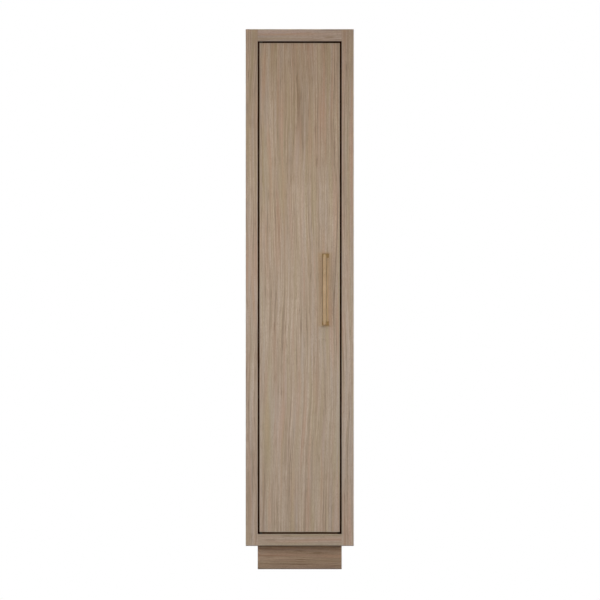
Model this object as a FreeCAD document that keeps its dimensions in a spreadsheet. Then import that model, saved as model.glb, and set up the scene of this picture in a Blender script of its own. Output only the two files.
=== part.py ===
"""Tall storage cabinet: a framed oak case on a set-back plinth, with one inset slab door on hidden pivots.

Millimetres. x runs to the right, y away from the viewer, z up. The origin is on the floor, under the middle
of the whole object, pull included.
"""

import FreeCAD, Part
import Sketcher
import os
import re

# Every size that can be set by itself
SIZES = {
    # case
    "width": 457.2,
    "height": 2286.0,
    "depth": 533.4,
    "panel_thickness": 19.05,
    "back_thickness": 6.35,
    "back_lap": 9.525,
    "housing_depth": 6.35,
    "bearer_width": 60.0,
    "hanging_rail_height": 76.2,
    "hanging_rail_thickness": 19.05,
    "wall_hole_spacing": 304.8,
    "wall_hole_diameter": 7.0,
    # face frame
    "frame_width": 50.8,
    "frame_thickness": 25.4,
    "edge_ease": 0.6,
    "dowel_diameter": 8.0,
    "dowel_length": 50.0,
    "dowel_spacing": 24.0,
    # dark strips behind the frame
    "stop_thickness": 9.5,
    "stop_lap": 17.5,
    # plinth and levelling feet
    "plinth_height": 98.4,
    "plinth_thickness": 19.05,
    "plinth_side_inset": 50.8,
    "plinth_front_inset": 50.8,
    "plinth_back_inset": 25.4,
    "block_size": 45.0,
    "foot_clearance": 1.0,
    "foot_pad_diameter": 34.0,
    "foot_pad_height": 8.0,
    "foot_pad_ease": 2.0,
    "foot_neck_width": 15.0,
    "foot_neck_height": 8.0,
    "foot_stem_diameter": 8.0,
    "foot_stem_length": 52.0,
    "nut_flange_diameter": 22.0,
    "nut_flange_thickness": 2.0,
    "nut_barrel_diameter": 11.0,
    "nut_barrel_length": 10.0,
    # shelves
    "shelf_thickness": 19.05,
    "shelf_setback": 16.0,
    "shelf_side_clearance": 1.0,
    "shelf_back_clearance": 2.0,
    "pin_diameter": 5.0,
    "pin_depth": 9.0,
    "pin_plate_length": 12.0,
    "pin_plate_width": 8.0,
    "pin_plate_thickness": 2.5,
    "pin_pitch": 32.0,
    "pin_inset": 45.0,
    # door
    "door_thickness": 19.05,
    "door_gap": 7.94,
    "door_recess": 3.0,
    "band_thickness": 1.0,
    "band_ease": 0.5,
    # pull
    "pull_length": 305.0,
    "pull_diameter": 19.0,
    "pull_projection": 38.0,
    "pull_end_ease": 1.0,
    "pull_height": 1184.0,
    "pull_edge_distance": 64.9,
    "post_width": 29.5,
    "post_height": 18.0,
    "post_side_lip": 1.0,
    "post_end_cap": 3.8,
    "post_ease": 1.2,
    "bar_reveal": 1.2,
    "pull_screw_diameter": 4.0,
    "pull_screw_bite": 12.0,
    "pull_screw_head_diameter": 9.0,
    "pull_screw_head_height": 2.5,
    # hidden pivot hinges
    "pivot_side_inset": 6.0,
    "pivot_front_inset": 7.0,
    "leaf_length": 60.0,
    "leaf_width": 10.0,
    "leaf_thickness": 2.5,
    "pivot_pin_diameter": 5.0,
    "pivot_pin_tail": 5.0,
    "leaf_screw_spacing": 22.0,
    "washer_play": 0.1,
    # magnetic catch and bumpers
    "catch_length": 45.0,
    "catch_height": 14.0,
    "catch_body_depth": 16.0,
    "catch_flange_depth": 40.0,
    "catch_flange_thickness": 3.0,
    "catch_gap": 0.4,
    "catch_side_distance": 5.0,
    "strike_length": 38.0,
    "strike_height": 12.0,
    "strike_thickness": 1.2,
    "bumper_diameter": 8.0,
    "bumper_thickness": 3.2,
    "bumper_end_distance": 60.0,
    # wood screws
    "screw_diameter": 3.0,
    "screw_head_diameter": 6.0,
    "screw_head_height": 1.6,
    "screw_length": 16.0,
    "screw_recess": 0.8,
    "screw_slot": 0.9,
    "plinth_screw_diameter": 4.5,
    "plinth_screw_head_diameter": 8.5,
    "plinth_screw_head_height": 2.2,
    "plinth_screw_length": 55.0,
    # fits
    "fit": 0.05,
    "overrun": 1.0,
}

# Counts. A shelf lies over each bay but the top one, numbered from below, and the middle shelf is fixed
BAY_COUNT = 6
FIXED_SHELF = BAY_COUNT // 2
ADJUSTABLE_SHELVES = [shelf for shelf in range(1, BAY_COUNT) if shelf != FIXED_SHELF]
PEG_ROW_COUNT = 5
LEAF_SCREW_COUNT = 2
SIDE_BACK_SCREW_COUNT = 7
ACROSS_BACK_SCREW_COUNT = 3

# Where things are, worked out from the sizes
PLACES = {
    "front": "(pull_projection - door_recess - depth) / 2",
    "back": "front + depth",
    "case_front": "front + frame_thickness",
    "case_depth": "back - case_front",
    "back_face": "back - back_thickness",
    "inside_half": "width / 2 - panel_thickness",
    "housed_half": "inside_half + housing_depth",
    "case_height": "height - plinth_height",
    "bearer_height": "frame_width - panel_thickness",
    "ceiling": "height - panel_thickness",
    "opening_half": "width / 2 - frame_width",
    "opening_low": "plinth_height + frame_width",
    "opening_high": "height - frame_width",
    "stop_inner_half": "opening_half - stop_lap",
    "plinth_half": "width / 2 - plinth_side_inset",
    "plinth_front": "front + plinth_front_inset",
    "plinth_back": "back - plinth_back_inset",
    "plinth_inner_half": "plinth_half - plinth_thickness",
    "plinth_inner_front": "plinth_front + plinth_thickness",
    "plinth_inner_back": "plinth_back - plinth_thickness",
    "foot_top": "foot_clearance + foot_pad_height + foot_neck_height",
    "nut_low": "foot_top + foot_clearance",
    "block_low": "nut_low + nut_flange_thickness",
    "shelf_front": "case_front + shelf_setback",
    "shelf_board_front": "shelf_front + band_thickness",
    "shelf_back": "back_face - shelf_back_clearance",
    "shelf_half": "inside_half - shelf_side_clearance",
    "bay_pitch": f"(ceiling - opening_low + shelf_thickness) / {BAY_COUNT}",
    "door_left": "door_gap - opening_half",
    "door_width": "2 * (opening_half - door_gap)",
    "door_right": "opening_half - door_gap",
    "door_low": "opening_low + door_gap",
    "door_high": "opening_high - door_gap",
    "door_height": "door_high - door_low",
    "door_front": "front + door_recess",
    "door_back": "door_front + door_thickness",
    "pivot_x": "door_left + pivot_side_inset",
    "pivot_y": "door_front + pivot_front_inset",
    "pull_x": "door_right - pull_edge_distance",
    "bar_y": "door_front - pull_projection + pull_diameter / 2",
    "pull_low": "pull_height - pull_length / 2",
    "post_top_low": "pull_low + pull_length - post_height",
    "post_left": "pull_x - pull_diameter / 2 - post_side_lip",
    "post_front": "bar_y - pull_diameter / 2 + bar_reveal",
    "bar_low": "pull_low + post_end_cap + fit",
    "bar_length": "pull_length - 2 * (post_end_cap + fit)",
    "catch_front": "door_back + strike_thickness + catch_gap",
    "catch_x": "stop_inner_half - catch_side_distance - catch_length / 2",
    "catch_top": f"opening_low + {FIXED_SHELF} * bay_pitch - shelf_thickness",
    "catch_z": "catch_top - catch_height / 2",
    "catch_screw_y": "(shelf_board_front + catch_front + catch_flange_depth) / 2",
    "bumper_x": "(stop_inner_half + door_right) / 2",
}

# Shares of the plinth's half width, and of its sides' length, at which it is screwed
PLINTH_SCREW_SHARES = (-0.65, 0.65)
PLINTH_SIDE_SCREW_SHARES = (0.3, 0.7)
# Share of the strike's length between its two screws, and of the catch's between its own
STRIKE_SCREW_SHARE = 0.6
CATCH_SCREW_SHARE = 0.5
# Shares of a screw head's diameter: its crossed slots' length, and the pull screw head's flat top
SLOT_SHARE = 0.7
FLAT_TOP_SHARE = 0.7
# Side of a hexagon's corner circle for a width of 1 across its flats
HEXAGON_CORNER_SHARE = 1 / 3**0.5
TOLERANCE = 1e-6

AXES = {"x": FreeCAD.Vector(1, 0, 0), "y": FreeCAD.Vector(0, 1, 0), "z": FreeCAD.Vector(0, 0, 1)}

doc = FreeCAD.newDocument("TallCabinet")
sheet = doc.addObject("Spreadsheet::Sheet", "Sizes")
for row, (size_name, size) in enumerate(SIZES.items(), start=1):
    sheet.set(f"A{row}", size_name.replace("_", " "))
    sheet.set(f"B{row}", str(size))
    sheet.setAlias(f"B{row}", size_name)
doc.recompute()

nodes = []


def formula(text):
    """The expression for a sum of named sizes and places."""

    def named(match):
        word = match.group(0)
        if word in PLACES:
            return f"({formula(PLACES[word])})"
        return f"Sizes.{word}"

    return re.sub(r"[a-z]\w*", named, str(text))


def value(text):
    """The number that such a sum has now."""
    return float(sheet.evalExpression(formula(text)))


def bind(thing, **properties):
    for name, text in properties.items():
        thing.setExpression(name, formula(text))


def place(thing, x, y, z, direction=None):
    """Binds a thing's place, and turns its own z axis to a direction."""
    if direction is not None:
        turn = FreeCAD.Rotation(AXES["z"], direction)
        thing.Placement = FreeCAD.Placement(FreeCAD.Vector(), turn)
    for axis, text in zip("xyz", (x, y, z)):
        thing.setExpression(f"Placement.Base.{axis}", formula(text))


def node(thing, label):
    thing.Label = label
    nodes.append(thing)
    return thing


def origin_plane(body, role):
    return next(plane for plane in body.Origin.OriginFeatures if plane.Role == role)


def sketch_on(body, role, u="0", v="0", lift="0"):
    """A sketch on one of a body's own planes, its origin moved to u, v and lifted along the normal."""
    sketch = body.newObject("Sketcher::SketchObject", "Outline")
    sketch.AttachmentSupport = [(origin_plane(body, role), "")]
    sketch.MapMode = "FlatFace"
    for axis, text in zip("xyz", (u, v, lift)):
        sketch.setExpression(f"AttachmentOffset.Base.{axis}", formula(text))
    return sketch


def rectangle(sketch, across, along):
    """A rectangle from the sketch's origin, its two sides bound."""
    corners = [(0, 0), (1, 0), (1, 1), (0, 1)]
    starts = [FreeCAD.Vector(x, y, 0) for x, y in corners]
    for start, end in zip(starts, starts[1:] + starts[:1]):
        sketch.addGeometry(Part.LineSegment(start, end))
    for line in range(4):
        sketch.addConstraint(Sketcher.Constraint("Coincident", line, 2, (line + 1) % 4, 1))
    for line, lies in enumerate(("Horizontal", "Vertical", "Horizontal", "Vertical")):
        sketch.addConstraint(Sketcher.Constraint(lies, line))
    sketch.addConstraint(Sketcher.Constraint("Coincident", 0, 1, -1, 1))
    wide = sketch.addConstraint(Sketcher.Constraint("DistanceX", 0, 1, 0, 2, value(across)))
    high = sketch.addConstraint(Sketcher.Constraint("DistanceY", 1, 1, 1, 2, value(along)))
    sketch.setExpression(f"Constraints[{wide}]", formula(across))
    sketch.setExpression(f"Constraints[{high}]", formula(along))


def on_face(edge, box, face):
    """Whether an edge lies in one face of a box."""
    reach = edge.BoundBox
    gaps = {
        "left": reach.XMax - box.XMin,
        "right": box.XMax - reach.XMin,
        "front": reach.YMax - box.YMin,
        "rear": box.YMax - reach.YMin,
        "bottom": reach.ZMax - box.ZMin,
        "top": box.ZMax - reach.ZMin,
    }
    return gaps[face] < TOLERANCE


def board(label, x, y, z, across, deep, tall, eased=(), sharp=(), ease="edge_ease"):
    """A board with its low corner at x, y, z. Eased faces have rounded edges, bar those on sharp faces."""
    body = doc.addObject("PartDesign::Body", "Board")
    body.Label = label
    outline = sketch_on(body, "XY_Plane")
    rectangle(outline, across, deep)
    pad = body.newObject("PartDesign::Pad", "Board")
    pad.Profile = outline
    bind(pad, Length=tall)
    place(body, x, y, z)
    if eased:
        doc.recompute()
        box = pad.Shape.BoundBox
        names = [
            f"Edge{number}"
            for number, edge in enumerate(pad.Shape.Edges, start=1)
            if any(on_face(edge, box, face) for face in eased)
            and not any(on_face(edge, box, face) for face in sharp)
        ]
        round_over = body.newObject("PartDesign::Fillet", "EasedEdges")
        round_over.Base = (pad, names)
        bind(round_over, Radius=ease)
        body.Tip = round_over
    return body


def recess(body, face, u, v, across, along, depth, size):
    """A rectangular recess cut into a named face of a board, whose size along that face's normal is given."""
    roles = {"left": "YZ_Plane", "right": "YZ_Plane", "rear": "XZ_Plane"}
    lifts = {"left": "0", "right": size, "rear": f"-({size})"}
    outline = sketch_on(body, roles[face], u, v, lifts[face])
    rectangle(outline, across, along)
    pocket = body.newObject("PartDesign::Pocket", "Recess")
    pocket.Profile = outline
    pocket.Reversed = face in ("left", "rear")
    bind(pocket, Length=depth)
    body.Tip = pocket


def pin_holes(body, face, size, shelf):
    """The peg holes for one adjustable shelf: a pair of holes, repeated up the side panel."""
    lowest = (
        f"opening_low + {shelf} * bay_pitch - shelf_thickness - pin_diameter / 2 - plinth_height"
        f" - {PEG_ROW_COUNT // 2} * pin_pitch"
    )
    columns = ("shelf_setback + pin_inset", "case_depth - back_thickness - shelf_back_clearance - pin_inset")
    outline = sketch_on(body, "YZ_Plane", "0", lowest, size if face == "right" else "0")
    for column in columns:
        circle = outline.addGeometry(
            Part.Circle(FreeCAD.Vector(value(column), 0, 0), AXES["z"], value("pin_diameter / 2"))
        )
        radius = outline.addConstraint(Sketcher.Constraint("Radius", circle, value("pin_diameter / 2")))
        outline.setExpression(f"Constraints[{radius}]", formula("pin_diameter / 2 + fit"))
        outline.addConstraint(Sketcher.Constraint("PointOnObject", circle, 3, -1))
        along = outline.addConstraint(Sketcher.Constraint("DistanceX", -1, 1, circle, 3, value(column)))
        outline.setExpression(f"Constraints[{along}]", formula(column))
    pocket = body.newObject("PartDesign::Pocket", "PegHoles")
    pocket.Profile = outline
    pocket.Reversed = face == "left"
    bind(pocket, Length="pin_depth + fit")
    rows = body.newObject("PartDesign::LinearPattern", "PegRows")
    rows.Originals = [pocket]
    rows.Direction = (outline, ["V_Axis"])
    rows.Occurrences = PEG_ROW_COUNT
    bind(rows, Length=f"{PEG_ROW_COUNT - 1} * pin_pitch")
    body.Tip = rows


def cylinder(diameter, tall, x="0", y="0", z="0", direction=None):
    rod = doc.addObject("Part::Cylinder", "Rod")
    bind(rod, Radius=f"({diameter}) / 2", Height=tall)
    place(rod, x, y, z, direction)
    return rod


def cone(diameter_low, diameter_high, tall, x="0", y="0", z="0", direction=None):
    taper = doc.addObject("Part::Cone", "Taper")
    bind(taper, Radius1=f"({diameter_low}) / 2", Radius2=f"({diameter_high}) / 2", Height=tall)
    place(taper, x, y, z, direction)
    return taper


def block(across, deep, tall, x, y, z):
    box = doc.addObject("Part::Box", "Block")
    bind(box, Length=across, Width=deep, Height=tall)
    place(box, x, y, z)
    return box


def joined(*pieces):
    fuse = doc.addObject("Part::MultiFuse", "Joined")
    fuse.Shapes = list(pieces)
    fuse.Refine = True
    return fuse


def group(*pieces):
    compound = doc.addObject("Part::Compound", "Group")
    compound.Links = list(pieces)
    return compound


def cut(base, *tools):
    """A piece less the space that each tool takes."""
    result = doc.addObject("Part::Cut", "Cut")
    result.Base = base
    result.Tool = tools[0] if len(tools) == 1 else group(*tools)
    return result


def copies(master, places, direction=None):
    """One group with a copy of the master at each place."""
    links = []
    for x, y, z in places:
        link = doc.addObject("App::Link", "Copy")
        link.LinkedObject = master
        place(link, x, y, z, direction)
        links.append(link)
    return group(*links)


def screw(diameter, length, head_diameter, head_height):
    """A flat-headed wood screw driven along z from its head at z = 0, with a crossed recess, and its hole."""
    point = f"2 * {diameter}"
    shank = cylinder(diameter, f"{length} - {point}")
    head = cone(head_diameter, diameter, head_height)
    tip = cone(diameter, f"{diameter} / 3", point, z=f"{length} - {point}")
    slot_length = f"{head_diameter} * {SLOT_SHARE}"
    slots = [
        block(one, other, "2 * screw_recess", f"-({one}) / 2", f"-({other}) / 2", "-screw_recess")
        for one, other in ((slot_length, "screw_slot"), ("screw_slot", slot_length))
    ]
    made = cut(joined(shank, head, tip), joined(*slots))
    hole = joined(
        cylinder(f"{diameter} + 2 * fit", f"{length} + fit"),
        cone(f"{head_diameter} + 2 * fit", f"{diameter} + 2 * fit", head_height),
    )
    return made, hole


wood_screw, wood_screw_hole = screw(
    "screw_diameter", "screw_length", "screw_head_diameter", "screw_head_height"
)
long_screw, long_screw_hole = screw(
    "plinth_screw_diameter", "plinth_screw_length", "plinth_screw_head_diameter", "plinth_screw_head_height"
)
UP, DOWN = AXES["z"], -AXES["z"]
FORWARD, BACKWARD = -AXES["y"], AXES["y"]

# Dowels in the frame's four butt joints
dowel_places = [
    (
        f"{side} * opening_half - dowel_length / 2",
        "front + frame_thickness / 2",
        f"{level} + {shift} * dowel_spacing / 2",
    )
    for side in (-1, 1)
    for level in ("plinth_height + frame_width / 2", "height - frame_width / 2")
    for shift in (-1, 1)
]
dowel = cylinder("dowel_diameter", "dowel_length")
dowel_hole = cylinder("dowel_diameter + 2 * fit", "dowel_length + 2 * fit", z="-fit")
node(copies(dowel, dowel_places, AXES["x"]), "frame_dowels")
dowel_holes = copies(dowel_hole, dowel_places, AXES["x"])

# Pivot hinges. A frame leaf carries the pin and is let into a rail.
# A door leaf turns on the pin and is let into the door
leaf_screw_places = [
    (f"pivot_x + {number} * leaf_screw_spacing", "pivot_y") for number in range(1, LEAF_SCREW_COUNT + 1)
]
hinges = {
    "upper": {"face": "opening_high", "door": "door_high", "above": True},
    "lower": {"face": "opening_low", "door": "door_low", "above": False},
}


def leaf_blank(low, spare="0"):
    """A hinge leaf with its round end about the pivot, and spare all round it."""
    return joined(
        cylinder(f"leaf_width + 2 * {spare}", f"leaf_thickness + {spare}", "pivot_x", "pivot_y", low),
        block(
            f"leaf_length + {spare}",
            f"leaf_width + 2 * {spare}",
            f"leaf_thickness + {spare}",
            "pivot_x",
            f"pivot_y - leaf_width / 2 - {spare}",
            low,
        ),
    )


frame_screw_groups, door_screw_groups, frame_mortises, door_mortises = [], [], [], []
frame_screw_holes, door_screw_holes = [], []
for name, hinge in hinges.items():
    above = hinge["above"]
    frame_low = hinge["face"] if above else f"{hinge['face']} - leaf_thickness"
    door_low_face = f"{hinge['door']} - leaf_thickness" if above else hinge["door"]
    into_frame, into_door = (UP, DOWN) if above else (DOWN, UP)
    frame_screws = copies(wood_screw, [(x, y, hinge["face"]) for x, y in leaf_screw_places], into_frame)
    frame_holes = copies(wood_screw_hole, [(x, y, hinge["face"]) for x, y in leaf_screw_places], into_frame)
    door_screws = copies(wood_screw, [(x, y, hinge["door"]) for x, y in leaf_screw_places], into_door)
    door_holes = copies(wood_screw_hole, [(x, y, hinge["door"]) for x, y in leaf_screw_places], into_door)
    frame_screw_groups.append(frame_screws)
    door_screw_groups.append(door_screws)
    frame_screw_holes.append(frame_holes)
    door_screw_holes.append(door_holes)
    pin = cylinder(
        "pivot_pin_diameter",
        "door_gap + leaf_thickness + pivot_pin_tail",
        "pivot_x",
        "pivot_y",
        hinge["face"],
        into_door,
    )
    frame_leaf = joined(cut(leaf_blank(frame_low), frame_holes), pin)
    node(frame_leaf, f"{name}_hinge_frame_leaf")
    bore = cylinder(
        "pivot_pin_diameter + 2 * fit",
        "leaf_thickness + 2 * overrun",
        "pivot_x",
        "pivot_y",
        f"{door_low_face} - overrun",
    )
    node(cut(leaf_blank(door_low_face), door_holes, bore), f"{name}_hinge_door_leaf")
    pin_space = cylinder(
        "pivot_pin_diameter + 2 * overrun",
        "leaf_thickness + pivot_pin_tail + overrun",
        "pivot_x",
        "pivot_y",
        hinge["door"],
        into_door,
    )
    frame_mortises.append(leaf_blank(frame_low if above else f"{frame_low} - fit", "fit"))
    door_mortise_low = f"{door_low_face} - fit" if above else door_low_face
    door_mortises.append(joined(leaf_blank(door_mortise_low, "fit"), pin_space))
node(group(*frame_screw_groups), "hinge_frame_screws")
node(group(*door_screw_groups), "hinge_door_screws")
washer = cut(
    cylinder("leaf_width", "door_gap - washer_play"),
    cylinder("pivot_pin_diameter + 2 * fit", "door_gap + 2 * overrun", z="-overrun"),
)
washer_places = [("pivot_x", "pivot_y", "opening_low"), ("pivot_x", "pivot_y", "door_high + washer_play")]
node(copies(washer, washer_places), "hinge_washers")

# Face frame: stiles run the full height, rails fit between them
for name, x, outer in (("left_stile", "-width / 2", "left"), ("right_stile", "opening_half", "right")):
    stile = board(
        f"{name}_board", x, "front", "plinth_height", "frame_width", "frame_thickness", "case_height",
        eased=("front", outer), sharp=("rear",),
    )
    node(cut(stile, dowel_holes), name)
for name, z, tools in (
    ("top_rail", "opening_high", (dowel_holes, frame_mortises[0], frame_screw_holes[0])),
    ("bottom_rail", "plinth_height", (dowel_holes, frame_mortises[1], frame_screw_holes[1])),
):
    rail = board(
        f"{name}_board", "-opening_half", "front", z, "2 * opening_half", "frame_thickness", "frame_width",
        eased=("front",), sharp=("left", "right"),
    )
    node(cut(rail, *tools), name)

# Dark strips behind the frame, which the door closes against
for name, x in (("hinge_side_stop", "-inside_half"), ("catch_side_stop", "stop_inner_half")):
    node(
        board(
            name, x, "case_front", "opening_low", "inside_half - stop_inner_half", "stop_thickness",
            "ceiling - opening_low",
        ),
        name,
    )
for name, z, tall in (
    ("top_stop", "opening_high - stop_lap", "ceiling - opening_high + stop_lap"),
    ("bottom_stop", "opening_low", "stop_lap"),
):
    stop = board(name, "-stop_inner_half", "case_front", z, "2 * stop_inner_half", "stop_thickness", tall)
    node(stop, name)

# Screws through the back panel into the sides, the top and the rear bearer
back_edge_x = "inside_half + back_lap / 2"
back_run = "case_height - panel_thickness"
back_screw_places = [
    (
        f"{side} * ({back_edge_x})",
        "back",
        f"plinth_height + ({back_run}) * {number + 0.5} / {SIDE_BACK_SCREW_COUNT}",
    )
    for side in (-1, 1)
    for number in range(SIDE_BACK_SCREW_COUNT)
]
back_screw_places += [
    (f"inside_half * {2 * (number + 0.5) / ACROSS_BACK_SCREW_COUNT - 1}", "back", level)
    for level in ("plinth_height + bearer_height / 2", "ceiling + back_lap / 2")
    for number in range(ACROSS_BACK_SCREW_COUNT)
]
node(copies(wood_screw, back_screw_places, FORWARD), "back_panel_screws")
back_screw_holes = copies(wood_screw_hole, back_screw_places, FORWARD)

# Case sides, housed for the floor, the fixed shelf and the top, rebated for the back and bored for shelf pegs
for name, x, inner, outer in (
    ("left_side_panel", "-width / 2", "right", "left"),
    ("right_side_panel", "inside_half", "left", "right"),
):
    side_panel = board(
        f"{name}_board", x, "case_front", "plinth_height", "panel_thickness", "case_depth", "case_height",
        eased=(outer,), sharp=("front",),
    )
    housings = (
        ("0", "bearer_height", "case_depth - back_thickness", "panel_thickness"),
        (
            "shelf_setback",
            f"frame_width + {FIXED_SHELF} * bay_pitch - shelf_thickness",
            "case_depth - back_thickness - shelf_setback",
            "shelf_thickness",
        ),
        ("0", "case_height - panel_thickness", "case_depth", "panel_thickness"),
    )
    for u, v, across, along in housings:
        recess(side_panel, inner, u, v, across, along, "housing_depth", "panel_thickness")
    recess(
        side_panel, inner, "case_depth - back_thickness", "0", "back_thickness",
        "case_height - panel_thickness + back_lap", "back_lap", "panel_thickness",
    )
    for shelf in ADJUSTABLE_SHELVES:
        pin_holes(side_panel, inner, "panel_thickness", shelf)
    node(cut(side_panel, back_screw_holes), name)

# Top, floor and back
top_board = board(
    "top_panel_board", "-housed_half", "case_front", "ceiling", "2 * housed_half", "case_depth",
    "panel_thickness",
)
recess(top_board, "rear", "0", "0", "2 * housed_half", "back_lap", "back_thickness", "case_depth")
node(cut(top_board, back_screw_holes), "top_panel")
node(
    board(
        "floor_panel", "-housed_half", "case_front", "opening_low - panel_thickness", "2 * housed_half",
        "case_depth - back_thickness", "panel_thickness",
    ),
    "floor_panel",
)
wall_hole_places = [
    (f"{side} * wall_hole_spacing / 2", "back + overrun", "ceiling - hanging_rail_height / 2")
    for side in (-1, 1)
]
wall_hole = cylinder("wall_hole_diameter", "back_thickness + hanging_rail_thickness + 2 * overrun")
wall_holes = copies(wall_hole, wall_hole_places, FORWARD)
back_board = board(
    "back_panel_board", "-(inside_half + back_lap)", "back_face", "plinth_height",
    "2 * (inside_half + back_lap)", "back_thickness", "case_height - panel_thickness + back_lap",
)
node(cut(back_board, back_screw_holes, wall_holes), "back_panel")
hanging_board = board(
    "hanging_rail_board", "-inside_half", "back_face - hanging_rail_thickness",
    "ceiling - hanging_rail_height", "2 * inside_half", "hanging_rail_thickness", "hanging_rail_height",
    eased=("front",), sharp=("left", "right"),
)
node(cut(hanging_board, wall_holes), "hanging_rail")

# Bearers under the floor, screwed down to the plinth
plinth_screw_top = "opening_low - panel_thickness"
plinth_screw_places = [
    (f"{share} * plinth_half", y, plinth_screw_top)
    for share in PLINTH_SCREW_SHARES
    for y in ("plinth_front + plinth_thickness / 2", "plinth_back - plinth_thickness / 2")
]
plinth_screw_places += [
    (
        f"{side} * (plinth_half - plinth_thickness / 2)",
        f"plinth_inner_front + {share} * (plinth_inner_back - plinth_inner_front)",
        plinth_screw_top,
    )
    for side in (-1, 1)
    for share in PLINTH_SIDE_SCREW_SHARES
]
node(copies(long_screw, plinth_screw_places, DOWN), "plinth_screws")
plinth_screw_holes = copies(long_screw_hole, plinth_screw_places, DOWN)
side_bearer_run = "back_face - case_front - 2 * bearer_width"
bearers = {
    "front_bearer": ("-inside_half", "case_front", "2 * inside_half", "bearer_width"),
    "rear_bearer": ("-inside_half", "back_face - bearer_width", "2 * inside_half", "bearer_width"),
    "left_bearer": ("-inside_half", "case_front + bearer_width", "bearer_width", side_bearer_run),
    "right_bearer": (
        "inside_half - bearer_width", "case_front + bearer_width", "bearer_width", side_bearer_run,
    ),
}
for name, (x, y, across, deep) in bearers.items():
    bearer = board(f"{name}_board", x, y, "plinth_height", across, deep, "bearer_height")
    tools = [plinth_screw_holes] + ([back_screw_holes] if name == "rear_bearer" else [])
    node(cut(bearer, *tools), name)

# Plinth: front and back boards run across, the side boards fit between them
plinth_run = "plinth_inner_back - plinth_inner_front"
plinth_boards = {
    "plinth_front_board": (
        "-plinth_half", "plinth_front", "2 * plinth_half", "plinth_thickness", ("front",), (),
    ),
    "plinth_back_board": (
        "-plinth_half", "plinth_inner_back", "2 * plinth_half", "plinth_thickness", ("rear",), (),
    ),
    "plinth_left_board": (
        "-plinth_half", "plinth_inner_front", "plinth_thickness", plinth_run, ("left",), ("front", "rear"),
    ),
    "plinth_right_board": (
        "plinth_inner_half", "plinth_inner_front", "plinth_thickness", plinth_run, ("right",),
        ("front", "rear"),
    ),
}
for name, (x, y, across, deep, eased, sharp) in plinth_boards.items():
    plinth_board = board(f"{name}_board", x, y, "0", across, deep, "plinth_height", eased, sharp)
    node(cut(plinth_board, plinth_screw_holes), name)

# Corner blocks with a nut each, and the levelling feet that screw into them
foot_x = "plinth_inner_half - block_size / 2"
corners = {
    "front_left": (f"-({foot_x})", "plinth_inner_front + block_size / 2"),
    "front_right": (foot_x, "plinth_inner_front + block_size / 2"),
    "rear_left": (f"-({foot_x})", "plinth_inner_back - block_size / 2"),
    "rear_right": (foot_x, "plinth_inner_back - block_size / 2"),
}
corner_block = cut(
    block(
        "block_size", "block_size", "plinth_height - block_low", "-block_size / 2", "-block_size / 2",
        "block_low",
    ),
    cylinder("nut_barrel_diameter + 2 * fit", "nut_barrel_length + fit", z="block_low"),
    cylinder("foot_stem_diameter + 2 * overrun", "plinth_height", z="block_low"),
)
leveller_nut = cut(
    joined(
        cylinder("nut_flange_diameter", "nut_flange_thickness", z="nut_low"),
        cylinder("nut_barrel_diameter", "nut_flange_thickness + nut_barrel_length", z="nut_low"),
    ),
    cylinder("foot_stem_diameter + 2 * fit", "plinth_height", z="nut_low - overrun"),
)
corner_places = [(x, y, "0") for x, y in corners.values()]
node(copies(corner_block, corner_places), "plinth_corner_blocks")
node(copies(leveller_nut, corner_places), "leveller_nuts")
foot_neck = doc.addObject("Part::Prism", "Neck")
foot_neck.Polygon = 6
bind(foot_neck, Circumradius=f"foot_neck_width * {HEXAGON_CORNER_SHARE}", Height="foot_neck_height")
place(foot_neck, "0", "0", "foot_clearance + foot_pad_height")
levelling_foot = joined(
    cylinder("foot_pad_diameter", "foot_pad_height - foot_pad_ease", z="foot_clearance"),
    cone(
        "foot_pad_diameter", "foot_pad_diameter - 4 * foot_pad_ease", "foot_pad_ease",
        z="foot_clearance + foot_pad_height - foot_pad_ease",
    ),
    foot_neck,
    cylinder(
        "foot_stem_diameter", "foot_neck_height + foot_stem_length", z="foot_clearance + foot_pad_height",
    ),
)
for name, (x, y) in corners.items():
    node(copies(levelling_foot, [(x, y, "0")]), f"{name}_levelling_foot")

# Shelves, their front edge bands and the pegs that carry the adjustable ones
catch_screw_places = [
    (
        f"catch_x + {side} * {CATCH_SCREW_SHARE} * catch_length / 2",
        "catch_screw_y",
        "catch_top - catch_flange_thickness",
    )
    for side in (-1, 1)
]
node(copies(wood_screw, catch_screw_places, UP), "catch_screws")
catch_screw_holes = copies(wood_screw_hole, catch_screw_places, UP)
shelf_bands, pin_places = [], []
for shelf in range(1, BAY_COUNT):
    underside = f"opening_low + {shelf} * bay_pitch - shelf_thickness"
    is_fixed = shelf == FIXED_SHELF
    half, end = ("housed_half", "back_face") if is_fixed else ("shelf_half", "shelf_back")
    band_half = "inside_half" if is_fixed else "shelf_half"
    number = len([other for other in ADJUSTABLE_SHELVES if other <= shelf])
    name = "fixed_shelf" if is_fixed else f"adjustable_shelf_{number}"
    shelf_board = board(
        f"{name}_board", f"-{half}", "shelf_board_front", underside, f"2 * {half}",
        f"{end} - shelf_board_front", "shelf_thickness",
    )
    node(cut(shelf_board, catch_screw_holes) if is_fixed else shelf_board, name)
    shelf_bands.append(
        board(
            f"{name}_band", f"-{band_half}", "shelf_front", underside, f"2 * {band_half}", "band_thickness",
            "shelf_thickness", eased=("front",), ease="band_ease",
        )
    )
    if not is_fixed:
        pin_places += [
            (side, y, underside)
            for side in (-1, 1)
            for y in ("shelf_front + pin_inset", "shelf_back - pin_inset")
        ]
node(group(*shelf_bands), "shelf_edge_bands")
peg = joined(
    cylinder(
        "pin_diameter", "pin_depth + pin_plate_length", "-pin_depth", "0", "-pin_diameter / 2", AXES["x"],
    ),
    block(
        "pin_plate_length", "pin_plate_width", "pin_plate_thickness", "0", "-pin_plate_width / 2",
        "-pin_plate_thickness",
    ),
)
peg_links = []
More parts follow.
